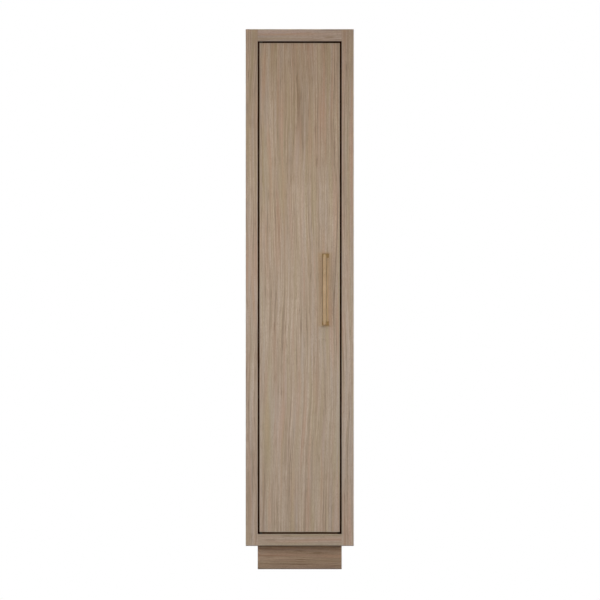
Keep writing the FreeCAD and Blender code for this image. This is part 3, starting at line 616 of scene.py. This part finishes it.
# %% Dress the fittings
black_steel = metal_material(
    "blackened_steel", paint(62, 60, 58), paint(40, 38, 36), 0.38, 900.0, relief=0.01
)
zinc = metal_material("zinc_plate", paint(206, 208, 206), paint(176, 180, 182), 0.30, 500.0, cloud=260.0)
nickel = metal_material("nickel_plate", paint(206, 200, 190), paint(184, 178, 168), 0.20, 600.0, cloud=90.0)
BLACK_PIECES = [name for name in nodes if "hinge" in name and name != "hinge_side_stop"]
ZINC_PIECES = [
    "plinth_screws",
    "catch_screws",
    "strike_screws",
    "pull_screws",
    "leveller_nuts",
    "catch_strike_plate",
]
for name in BLACK_PIECES:
    dress(name, black_steel)
for name in ZINC_PIECES:
    dress(name, zinc)
print(len(BLACK_PIECES), "blackened pieces,", len(ZINC_PIECES), "zinc plated")

# %% [markdown]
# ## Small parts that repeat
#
# Twenty screws hold the back, sixteen pegs carry the shelves, and four feet level the cabinet. In the frame
# they are plain solids. Up close a screw has a crossed recess and a thread, so here each is modelled once,
# as a recipe of Geometry Nodes, and the recipe sets a copy at every place. Changing one size then changes
# them all.
#
# First, where are they? One node of the frame holds all its screws, so its mesh is split into separate
# solids by walking from vertex to vertex along the edges, on a copy whose doubled vertices are merged.

# %% Find the separate solids in a node
TOUCHING = 0.001 * MM


def separate_solids(name):
    """The low and high corner of each solid that a node holds."""
    walked = bmesh.new()
    walked.from_mesh(nodes[name].data)
    bmesh.ops.remove_doubles(walked, verts=walked.verts, dist=TOUCHING)
    boxes, seen = [], set()
    for start in walked.verts:
        if start in seen:
            continue
        seen.add(start)
        reached = [start]
        for vertex in reached:
            neighbours = {edge.other_vert(vertex) for edge in vertex.link_edges} - seen
            seen |= neighbours
            reached += sorted(neighbours, key=lambda other: other.index)
        sides = list(zip(*(vertex.co for vertex in reached)))
        boxes.append((Vector(map(min, sides)), Vector(map(max, sides))))
    walked.free()
    return boxes


screw_boxes = separate_solids("back_panel_screws")
peg_boxes = separate_solids("shelf_pins")
print(len(screw_boxes), "screws,", len(peg_boxes), "pegs")

# %% [markdown]
# A tree needs a few shapes again and again: a tapered round or faceted length, several shapes as one, and
# one cut from another. A cone node whose two radii are alike is a cylinder that starts at the floor, which
# is handier than the cylinder node, whose middle lies there.

# %% Short names for the shapes
def moved(tree, shape, by=(0.0, 0.0, 0.0), turn=(0.0, 0.0, 0.0), scale=(1.0, 1.0, 1.0)):
    """The shape scaled, then turned, then moved."""
    sockets = {"Geometry": shape, "Translation": by, "Rotation": turn, "Scale": scale}
    return add(tree, "GeometryNodeTransform", sockets).outputs[0]


def shaft(tree, low_width, high_width, tall, lift=0.0, sides=32):
    """A length of round or faceted bar along z, from one width to another, lifted from the floor."""
    low_radius, high_radius = scaled(tree, low_width, 0.5), scaled(tree, high_width, 0.5)
    sockets = {"Vertices": sides, "Radius Bottom": low_radius, "Radius Top": high_radius, "Depth": tall}
    bar = add(tree, "GeometryNodeMeshCone", sockets).outputs["Mesh"]
    return moved(tree, bar, by=vector_of(tree, Z=lift))


def merged(tree, *shapes):
    """The shapes as one closed shell, without the walls inside."""
    made = add(tree, "GeometryNodeMeshBoolean", operation="UNION", solver="EXACT")
    for shape in shapes:
        tree.links.new(shape, made.inputs["Mesh 2"])
    return made.outputs["Mesh"]


def cut_from(tree, shape, tool):
    sockets = {"Mesh 1": shape, "Mesh 2": tool}
    made = add(tree, "GeometryNodeMeshBoolean", sockets, operation="DIFFERENCE", solver="EXACT")
    return made.outputs["Mesh"]


def together(tree, *shapes):
    """The shapes side by side in one mesh."""
    made = add(tree, "GeometryNodeJoinGeometry")
    for shape in shapes:
        tree.links.new(shape, made.inputs["Geometry"])
    return made.outputs[0]


# %% [markdown]
# A thread is a small profile drawn along a spiral that climbs by one pitch in each turn. A bump in the
# material would leave the screw's outline smooth.

# %% A thread
STEPS_A_TURN = 18
RIDGE_SHARE = 0.42


def thread(tree, width, tall, pitch, lift=0.0):
    """A ridge that winds up along z."""
    radius = scaled(tree, width, 0.5)
    spiral = {
        "Resolution": STEPS_A_TURN,
        "Rotations": maths(tree, "DIVIDE", tall, pitch),
        "Start Radius": radius,
        "End Radius": radius,
        "Height": tall,
    }
    wound = add(tree, "GeometryNodeCurveSpiral", spiral).outputs["Curve"]
    ring = {"Resolution": 4, "Radius": scaled(tree, pitch, RIDGE_SHARE)}
    profile = add(tree, "GeometryNodeCurvePrimitiveCircle", ring).outputs["Curve"]
    sweep = {"Curve": wound, "Profile Curve": profile, "Fill Caps": True}
    ridge = add(tree, "GeometryNodeCurveToMesh", sweep).outputs[0]
    return moved(tree, ridge, by=vector_of(tree, Z=lift))


# %% [markdown]
# Every tree ends alike: its shape is set at each point, turned by the point's own turn and a tilt, made
# real and given its material. Running the tree gives a plain mesh, smooth but for its sharp edges, that
# rides on a body of the frame in place of the plain solid.

# %% The end of every tree
def set_at_points(tree, ends, points, shape, tilt, turn, material):
    """Closes a tree: a copy of the shape at each point, tilted, with a turn about its own axis."""
    sockets = {"Points": points, "Instance": shape, "Rotation": tilt}
    placed = add(tree, "GeometryNodeInstanceOnPoints", sockets).outputs[0]
    sockets = {"Instances": placed, "Rotation": vector_of(tree, Z=turn)}
    turned = add(tree, "GeometryNodeRotateInstances", sockets).outputs[0]
    real = add(tree, "GeometryNodeRealizeInstances", {"Geometry": turned}).outputs[0]
    finished = add(tree, "GeometryNodeSetMaterial", {"Geometry": real, "Material": material}).outputs[0]
    tree.links.new(finished, ends["Geometry"])
    print(tree.name, "takes", len(tree.nodes), "nodes")


# %% Run a tree
SHARP_ANGLE = math.radians(32)


def grown(name, tree, points, settings, body, replaced, turns=()):
    """Runs a tree on points and sets its mesh on a body, in place of a node of the frame."""
    start = bpy.data.meshes.new(name)
    start.from_pydata(points, [], [])
    if turns:
        start.attributes.new("turn", "FLOAT", "POINT").data.foreach_set("value", turns)
    piece = bpy.data.objects.new(name, start)
    bpy.context.scene.collection.objects.link(piece)
    modifier = piece.modifiers.new(name, "NODES")
    modifier.node_group = tree
    for socket in tree.interface.items_tree:
        if socket.name in settings:
            modifier[socket.identifier] = settings[socket.name]
    seen = piece.evaluated_get(bpy.context.evaluated_depsgraph_get())
    mesh = bpy.data.meshes.new_from_object(seen)
    piece.modifiers.remove(modifier)
    piece.data = mesh
    mesh.shade_smooth()
    mesh.set_sharp_from_angle(angle=SHARP_ANGLE)
    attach(piece, body)
    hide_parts(replaced)
    print(name, len(mesh.polygons), "faces")


# %% [markdown]
# ### Screws in the back
#
# A wood screw has a countersunk head, very slightly domed, a crossed recess for the driver, a plain neck,
# and a thread down to its point. Its recipe takes the sizes that a maker would measure, and works out the
# others. Its face lies at z = 0, and all the rest hangs below.

# %% The sizes of a screw
screw, screw_in, screw_out = group_with(
    "Wood screw",
    "GeometryNodeTree",
    {
        "Geometry": "Geometry",
        "Head Width": "Float",
        "Head Height": "Float",
        "Shank Width": "Float",
        "Length": "Float",
        "Recess Depth": "Float",
        "Material": "Material",
        "Seed": "Int",
    },
    {"Geometry": "Geometry"},
)
head_width, head_height = screw_in["Head Width"], screw_in["Head Height"]
shank_width, screw_length = screw_in["Shank Width"], screw_in["Length"]
rim_height = scaled(screw, head_height, 0.10)
dome_width = scaled(screw, head_width, 0.72)
rim_low = scaled(screw, rim_height, -2.0)
core_width = scaled(screw, shank_width, 0.76)
tip_width = scaled(screw, core_width, 0.08)
point_height = scaled(screw, shank_width, 2.0)
point_top = maths(screw, "SUBTRACT", point_height, screw_length)
core_length = maths(screw, "SUBTRACT", screw_length, point_height)
cone_height = maths(screw, "ADD", head_height, rim_low)

# %% The blank of the screw, from its dome down to its point
blank = merged(
    screw,
    shaft(screw, head_width, dome_width, rim_height, scaled(screw, rim_height, -1.0)),
    shaft(screw, head_width, head_width, rim_height, rim_low),
    shaft(screw, shank_width, head_width, cone_height, scaled(screw, head_height, -1.0)),
    shaft(screw, core_width, core_width, core_length, point_top),
    shaft(screw, tip_width, core_width, point_height, scaled(screw, screw_length, -1.0)),
)

# %% [markdown]
# The recess is two crossed slots that narrow downwards, cut out of the head. Each starts as a bar with four
# sides, which is turned square to x, squashed in y, and sunk to its depth. No two screws stop at the same
# turn, so each gets a random spin from a fixed seed.

# %% The crossed recess
SLOT_THINNESS = 0.24

slot_long = scaled(screw, head_width, 0.62)
slot_foot = scaled(screw, slot_long, 0.55)
slot_tall = scaled(screw, screw_in["Recess Depth"], 1.4)
sunk = vector_of(screw, Z=scaled(screw, screw_in["Recess Depth"], -1.0))
slots = []
for quarter_turn in (0.0, math.pi / 2):
    squared = moved(screw, shaft(screw, slot_foot, slot_long, slot_tall, sides=4), turn=(0, 0, math.pi / 4))
    thin = moved(screw, squared, scale=(1.0, SLOT_THINNESS, 1.0))
    slots.append(moved(screw, thin, by=sunk, turn=(0, 0, quarter_turn)))
recessed = cut_from(screw, blank, merged(screw, *slots))

# %% The thread and the spin of the screw
thread_long = maths(screw, "SUBTRACT", scaled(screw, screw_length, 0.72), point_height)
thread_width = scaled(screw, shank_width, 0.80)
screw_pitch = scaled(screw, shank_width, 0.42)
ridge = thread(screw, thread_width, thread_long, screw_pitch, point_top)
chance = add(screw, "FunctionNodeRandomValue", {"Max": math.tau, "Seed": screw_in["Seed"]}, data_type="FLOAT")
spin, facing_back = chance.outputs["Value"], (-math.pi / 2, 0, 0)
whole_screw = together(screw, recessed, ridge)
set_at_points(screw, screw_out, screw_in["Geometry"], whole_screw, facing_back, spin, screw_in["Material"])

# %% Set the screws
screw_low, screw_high = screw_boxes[0]
grown(
    "back_screws",
    screw,
    [((low.x + high.x) / 2, high.y, (low.z + high.z) / 2) for low, high in screw_boxes],
    {
        "Head Width": screw_high.x - screw_low.x,
        "Head Height": 1.6 * MM,
        "Shank Width": 3.0 * MM,
        "Length": screw_high.y - screw_low.y,
        "Recess Depth": 0.9 * MM,
        "Material": zinc,
        "Seed": 7,
    },
    "carcass",
    "back_panel_screws",
)

# %% [markdown]
# ### Shelf pegs
#
# Each adjustable shelf lies on four spoon pegs of nickel-plated steel: a round pin that fits a hole in the
# side, and a flat tongue with rounded corners that lies under the shelf, with the pin as a rib below it.
# The pin is laid along x with its top at z = 0, and the part of it behind x = 0 is in the cabinet's side.

# %% The rod of the peg
peg, peg_in, peg_out = group_with(
    "Shelf peg",
    "GeometryNodeTree",
    {
        "Geometry": "Geometry",
        "Pin Width": "Float",
        "Pin Length": "Float",
        "Tongue Length": "Float",
        "Tongue Width": "Float",
        "Tongue Thickness": "Float",
        "Material": "Material",
    },
    {"Geometry": "Geometry"},
)
pin_width, pin_length = peg_in["Pin Width"], peg_in["Pin Length"]
tongue_length, tongue_width = peg_in["Tongue Length"], peg_in["Tongue Width"]
ease_length = scaled(peg, pin_width, 0.16)
ease_width = scaled(peg, pin_width, 0.74)
ease_start = maths(peg, "SUBTRACT", maths(peg, "ADD", pin_length, tongue_length), ease_length)
rod = merged(
    peg,
    shaft(peg, ease_width, pin_width, ease_length),
    shaft(peg, pin_width, pin_width, maths(peg, "SUBTRACT", ease_start, ease_length), ease_length),
    shaft(peg, pin_width, ease_width, ease_length, ease_start),
)
sunk = vector_of(peg, X=scaled(peg, pin_length, -1.0), Z=scaled(peg, pin_width, -0.5))
laid = moved(peg, rod, by=sunk, turn=(0, math.pi / 2, 0))

# %% [markdown]
# The tongue is drawn as a rectangle, its corners are filleted, and the outline is filled and made thick. A
# wall that is drawn out against its face's direction points inwards, so the walls are flipped before they
# join it.

# %% The tongue of the peg
rectangle = {"Width": tongue_length, "Height": tongue_width}
outline = add(peg, "GeometryNodeCurvePrimitiveQuadrilateral", rectangle).outputs["Curve"]
fillet = {"Curve": outline, "Count": 6, "Radius": scaled(peg, tongue_width, 0.3)}
rounded = add(peg, "GeometryNodeFilletCurve", fillet, mode="POLY").outputs[0]
top_face = add(peg, "GeometryNodeFillCurve", {"Curve": rounded}, mode="NGONS").outputs[0]
downwards = scaled(peg, peg_in["Tongue Thickness"], -1.0)
extrusion = {"Mesh": top_face, "Offset Scale": downwards, "Individual": False}
walls = add(peg, "GeometryNodeExtrudeMesh", extrusion).outputs["Mesh"]
outward = add(peg, "GeometryNodeFlipFaces", {"Mesh": walls}).outputs[0]
seam = {"Geometry": together(peg, outward, top_face), "Distance": TOUCHING}
closed = add(peg, "GeometryNodeMergeByDistance", seam).outputs[0]
tongue = moved(peg, closed, by=vector_of(peg, X=scaled(peg, tongue_length, 0.5)))

# %% [markdown]
# A peg on the right is a left one turned half round, so each point carries its own turn, which the tree
# reads as an attribute by its name.

# %% The end of the peg's recipe
turn_read = add(peg, "GeometryNodeInputNamedAttribute", {"Name": "turn"}, data_type="FLOAT")
own_turn = turn_read.outputs["Attribute"]
whole_peg = merged(peg, laid, tongue)
set_at_points(peg, peg_out, peg_in["Geometry"], whole_peg, (0, 0, 0), own_turn, peg_in["Material"])

# %% Set the pegs
PIN_LENGTH = 9.0 * MM

peg_places, peg_turns = [], []
for low, high in peg_boxes:
    on_left = low.x + high.x < 0
    side_face = low.x + PIN_LENGTH if on_left else high.x - PIN_LENGTH
    peg_places.append((side_face, (low.y + high.y) / 2, high.z))
    peg_turns.append(0.0 if on_left else math.pi)
grown(
    "shelf_pegs",
    peg,
    peg_places,
    {
        "Pin Width": 5.0 * MM,
        "Pin Length": PIN_LENGTH,
        "Tongue Length": 12.0 * MM,
        "Tongue Width": 8.0 * MM,
        "Tongue Thickness": 2.5 * MM,
        "Material": nickel,
    },
    "carcass",
    "shelf_pins",
    turns=peg_turns,
)

# %% [markdown]
# ### Levelling feet
#
# A foot is a steel pad with rolled edges, a hexagon for the spanner, and a threaded stem that climbs into
# its nut in the corner block. All four are alike, but each moves on its own, so the recipe runs once for
# each, on the single point where that foot stands.

# %% The sizes of a foot
foot, foot_in, foot_out = group_with(
    "Levelling foot",
    "GeometryNodeTree",
    {
        "Geometry": "Geometry",
        "Pad Width": "Float",
        "Pad Height": "Float",
        "Spanner Width": "Float",
        "Spanner Height": "Float",
        "Stem Width": "Float",
        "Stem Length": "Float",
        "Pitch": "Float",
        "Material": "Material",
    },
    {"Geometry": "Geometry"},
)
pad_width, pad_height = foot_in["Pad Width"], foot_in["Pad Height"]
stem_width, stem_length, pitch = foot_in["Stem Width"], foot_in["Stem Length"], foot_in["Pitch"]
hexagon = scaled(foot, foot_in["Spanner Width"], 2 / math.sqrt(3))
hexagon_height = foot_in["Spanner Height"]
hexagon_ease = scaled(foot, hexagon_height, 0.14)
hexagon_top = maths(foot, "ADD", pad_height, hexagon_height)
core_width = maths(foot, "SUBTRACT", stem_width, scaled(foot, pitch, 0.86))
stem_top = maths(foot, "ADD", hexagon_top, stem_length)
stem_ease = scaled(foot, stem_width, 0.14)

# %% [markdown]
# The pad is a stack of short tapered lengths, whose widths follow its rolled edge. Above it, the hexagon
# and the stem each end in a shorter taper, where the real ones are eased.

# %% Pad, hexagon and stem
PAD_SHARES = ((0.0, 0.93), (0.12, 0.985), (0.22, 1.0), (0.72, 1.0), (0.88, 0.965), (0.97, 0.88), (1.0, 0.76))

pad_rings = []
for (low_share, low_width), (high_share, high_width) in zip(PAD_SHARES, PAD_SHARES[1:]):
    widths = scaled(foot, pad_width, low_width), scaled(foot, pad_width, high_width)
    ring_height = scaled(foot, pad_height, high_share - low_share)
    pad_rings.append(shaft(foot, *widths, ring_height, scaled(foot, pad_height, low_share), sides=64))
hexagon_straight = maths(foot, "SUBTRACT", hexagon_height, hexagon_ease)
hexagon_shoulder = maths(foot, "SUBTRACT", hexagon_top, hexagon_ease)
stem_straight = maths(foot, "SUBTRACT", stem_length, stem_ease)
stem_shoulder = maths(foot, "SUBTRACT", stem_top, stem_ease)
turned_body = merged(
    foot,
    *pad_rings,
    shaft(foot, hexagon, hexagon, hexagon_straight, pad_height, sides=6),
    shaft(foot, hexagon, scaled(foot, hexagon, 0.88), hexagon_ease, hexagon_shoulder, sides=6),
    shaft(foot, core_width, core_width, stem_straight, hexagon_top),
    shaft(foot, core_width, scaled(foot, core_width, 0.7), stem_ease, stem_shoulder),
)

# %% The end of the foot's recipe
stem_thread = thread(
    foot,
    maths(foot, "SUBTRACT", stem_width, scaled(foot, pitch, 0.84)),
    maths(foot, "SUBTRACT", stem_length, scaled(foot, pitch, 3.0)),
    pitch,
    maths(foot, "ADD", hexagon_top, pitch),
)
whole_foot = together(foot, turned_body, stem_thread)
set_at_points(foot, foot_out, foot_in["Geometry"], whole_foot, (0, 0, 0), 0.0, foot_in["Material"])

# %% Set the feet
PAD_HEIGHT = 8.0 * MM
SPANNER_HEIGHT = 8.0 * MM

foot_steel = metal_material(
    "foot_steel", paint(186, 187, 186), paint(158, 160, 160), 0.36, 400.0, cloud=120.0
)
for name in [name for name in nodes if name.endswith("levelling_foot")]:
    low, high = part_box(name)
    grown(
        name.replace("levelling", "threaded"),
        foot,
        [((low.x + high.x) / 2, (low.y + high.y) / 2, low.z)],
        {
            "Pad Width": high.x - low.x,
            "Pad Height": PAD_HEIGHT,
            "Spanner Width": 15.0 * MM,
            "Spanner Height": SPANNER_HEIGHT,
            "Stem Width": 8.0 * MM,
            "Stem Length": high.z - low.z - PAD_HEIGHT - SPANNER_HEIGHT,
            "Pitch": 1.25 * MM,
            "Material": foot_steel,
        },
        name,
        name,
    )

# %% [markdown]
# ## Plastic and rubber
#
# The catch is a moulded brown plastic body with a faint spark-eroded texture. The bumpers are clear soft
# plastic: light goes a little way in, which subsurface scattering shows.

# %% Plastic catch and soft bumpers
def moulded_material(name, colour, other, roughness, grain, scatter=0.0):
    """A moulded plastic with fine pits, and two colours that drift into each other."""
    material, tree = new_material(name)
    here = add(tree, "ShaderNodeTexCoord").outputs["Object"]
    pits = noise(tree, stretched(tree, here, grain), detail=2.0)
    drift = noise(tree, stretched(tree, here, 60.0), detail=1.0)
    surfaced(tree, {
        "Base Color": blended(tree, drift, colour, other),
        "Roughness": ramped(tree, pits, 0.3, 0.7, roughness - 0.06, roughness + 0.06),
        "Normal": bumped(tree, pits, 0.03),
        "Subsurface Weight": scatter,
        "Subsurface Radius": (MM, MM, MM),
    })
    return material


plastic = moulded_material("catch_plastic", paint(92, 66, 48), paint(78, 56, 42), 0.50, 1600.0)
rubber = moulded_material("bumper_rubber", paint(196, 194, 188), paint(180, 178, 170), 0.32, 300.0, 0.6)
dress("catch_housing", plastic)
dress("door_bumpers", rubber)
print(len(bpy.data.materials), "materials in all")

# %% [markdown]
# ## The studio
#
# The cabinet stands on a plain pale floor in soft light. The floor fades to white away from the cabinet,
# and the sky is white wherever the camera, a reflection or a clear piece looks at it, but only grey for the
# light it sheds. So the background is white while the wood still renders about as its colours are written.

# %% Floor
FLOOR_REACH = 9.0
FLOOR_FADE = (0.9, 4.5)
FLOOR_PALE = paint(240, 240, 238)
WHITE = (1.0, 1.0, 1.0, 1.0)


def floor_material():
    """Pale and matt round the cabinet, white to the camera and to mirrors further away."""
    material, tree = new_material("studio_floor")
    here = add(tree, "ShaderNodeTexCoord").outputs["Object"]
    distance = add(tree, "ShaderNodeVectorMath", {0: here}, operation="LENGTH").outputs["Value"]
    looked_at = add(tree, "ShaderNodeLightPath").outputs
    seen = maths(tree, "MAXIMUM", looked_at["Is Camera Ray"], looked_at["Is Glossy Ray"])
    white_share = maths(tree, "MULTIPLY", ramped(tree, distance, *FLOOR_FADE), seen)
    matt = add(tree, "ShaderNodeBsdfDiffuse", {"Color": FLOOR_PALE}).outputs[0]
    glow = add(tree, "ShaderNodeEmission", {"Color": WHITE, "Strength": 1.0}).outputs[0]
    mixed = add(tree, "ShaderNodeMixShader", {0: white_share, 1: matt, 2: glow}).outputs[0]
    add(tree, "ShaderNodeOutputMaterial", {"Surface": mixed})
    return material


floor_mesh = bpy.data.meshes.new("studio_floor")
floor_corners = [(FLOOR_REACH * x, FLOOR_REACH * y, 0.0) for x, y in ((-1, -1), (1, -1), (1, 1), (-1, 1))]
floor_mesh.from_pydata(floor_corners, [], [(0, 1, 2, 3)])
floor_mesh.materials.append(floor_material())
floor = bpy.data.objects.new("studio_floor", floor_mesh)
bpy.context.scene.collection.objects.link(floor)
floor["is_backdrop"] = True

# %% [markdown]
# The sky's strength for scattered light is a plain number. It is kept low, because light from all round
# would fill the shadow in the gap and under the case.

# %% Sky
SKY_LIGHT = 0.10

world = bpy.data.worlds.new("studio_sky")
world.use_nodes = True
sky = world.node_tree
sky.nodes.clear()
looked_at = add(sky, "ShaderNodeLightPath").outputs
sky_seen = maths(sky, "MAXIMUM", looked_at["Is Camera Ray"], looked_at["Is Glossy Ray"])
sky_seen = maths(sky, "MAXIMUM", sky_seen, looked_at["Is Transmission Ray"])
sky_colour = blended(sky, sky_seen, (SKY_LIGHT, SKY_LIGHT, SKY_LIGHT, 1.0), WHITE)
background = add(sky, "ShaderNodeBackground", {"Color": sky_colour, "Strength": 1.0})
add(sky, "ShaderNodeOutputWorld", {"Surface": background.outputs[0]})
bpy.context.scene.world = world

# %% [markdown]
# Area lamps are used because their size is what makes a shadow soft. Two lamps stand in front, one level
# and one high, and the key stands on the left, so shadows fall down and to the right but stay light. All
# three have a limited spread and aim at the door's middle, so the light falls off towards its top and
# bottom. A broad weak lamp fills from the right, and two more weak ones tint the upper third: a warm one
# high up, and a yellow one with a narrow spread. The others light what the camera doesn't see: the sides,
# the back and the top.
#
# The lamps are hidden from reflections, and metal mirrors the white sky instead, as in a tent of white
# cloth. Only one weak lamp is mirrored, which draws the soft streak down the middle of the brass bar.

# %% Lamps
def lamp(name, place, target, size, watts, spread, colour=(1.0, 1.0, 1.0), mirrored=False):
    """A rectangular area lamp that faces its target, its light kept within a spread in degrees."""
    light = bpy.data.lights.new(name, "AREA")
    light.shape = "RECTANGLE"
    light.size, light.size_y = size
    light.energy = watts
    light.spread = math.radians(spread)
    light.color = colour
    made = bpy.data.objects.new(name, light)
    made.location = place
    made.rotation_euler = (Vector(target) - Vector(place)).to_track_quat("-Z", "Y").to_euler()
    made.visible_glossy = mirrored
    bpy.context.scene.collection.objects.link(made)


FRONT_MIDDLE = (0.0, -0.25, 0.97)
BACK_MIDDLE = (0.0, 0.3, 1.1)
UPPER_THIRD = (-0.12, -0.25, 1.95)
lamp("front_level", (0.1, -3.4, 1.15), FRONT_MIDDLE, (0.4, 1.0), 6.8, 80)
lamp("front_streak", (0.1, -3.4, 1.15), FRONT_MIDDLE, (0.4, 2.0), 1.2, 80, mirrored=True)
lamp("front_high", (0.1, -3.4, 2.4), FRONT_MIDDLE, (0.4, 1.0), 3.6, 80)
lamp("key", (-2.6, -2.6, 1.25), FRONT_MIDDLE, (0.5, 1.2), 5.2, 80)
lamp("right", (2.6, -2.6, 1.2), FRONT_MIDDLE, (1.6, 1.6), 3.2, 120)
lamp("top_warm", (0.3, -1.4, 3.8), (0.0, -0.25, 1.9), (1.8, 1.2), 2.4, 100, (1.0, 0.35, 0.12))
lamp("top_yellow", (-0.1, -3.0, 2.3), UPPER_THIRD, (0.4, 0.6), 0.45, 40, (1.0, 0.80, 0.30))
lamp("rear_left", (-2.6, 2.8, 2.2), BACK_MIDDLE, (2.0, 1.4), 21.0, 100)
lamp("rear_right", (2.8, 2.4, 1.4), BACK_MIDDLE, (2.0, 1.4), 16.0, 100)
lamp("side_left", (-3.0, 1.3, 1.3), BACK_MIDDLE, (0.8, 1.4), 7.0, 90)
lamp("side_right", (3.0, 1.3, 1.3), BACK_MIDDLE, (0.8, 1.4), 11.0, 90)
lamp("overhead", (0.0, 0.2, 4.6), (0.0, 0.2, 0.0), (3.5, 3.5), 18.0, 70)
print(round(sum(light.energy for light in bpy.data.lights), 1), "W in", len(bpy.data.lights), "lamps")

# %% [markdown]
# The picture was taken square on from far away, so the sides of the cabinet stay parallel. An orthographic
# camera gives just that. Its scale is the height of the view in metres, found by comparing edges.

# %% Camera
VIEW_HEIGHT = 2.5401
VIEW_CENTRE = (0.0013, 1.1396)
CAMERA_DISTANCE = 8.0

camera_data = bpy.data.cameras.new("camera")
camera_data.type = "ORTHO"
camera_data.ortho_scale = VIEW_HEIGHT
camera = bpy.data.objects.new("camera", camera_data)
camera.location = (VIEW_CENTRE[0], -CAMERA_DISTANCE, VIEW_CENTRE[1])
camera.rotation_euler = (math.pi / 2, 0.0, 0.0)
bpy.context.scene.collection.objects.link(camera)
bpy.context.scene.camera = camera
bpy.context.scene.view_settings.view_transform = "Standard"

# %% [markdown]
# Last, the bounds of the dressed cabinet are measured.

# %% Sizes and finish
low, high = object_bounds()
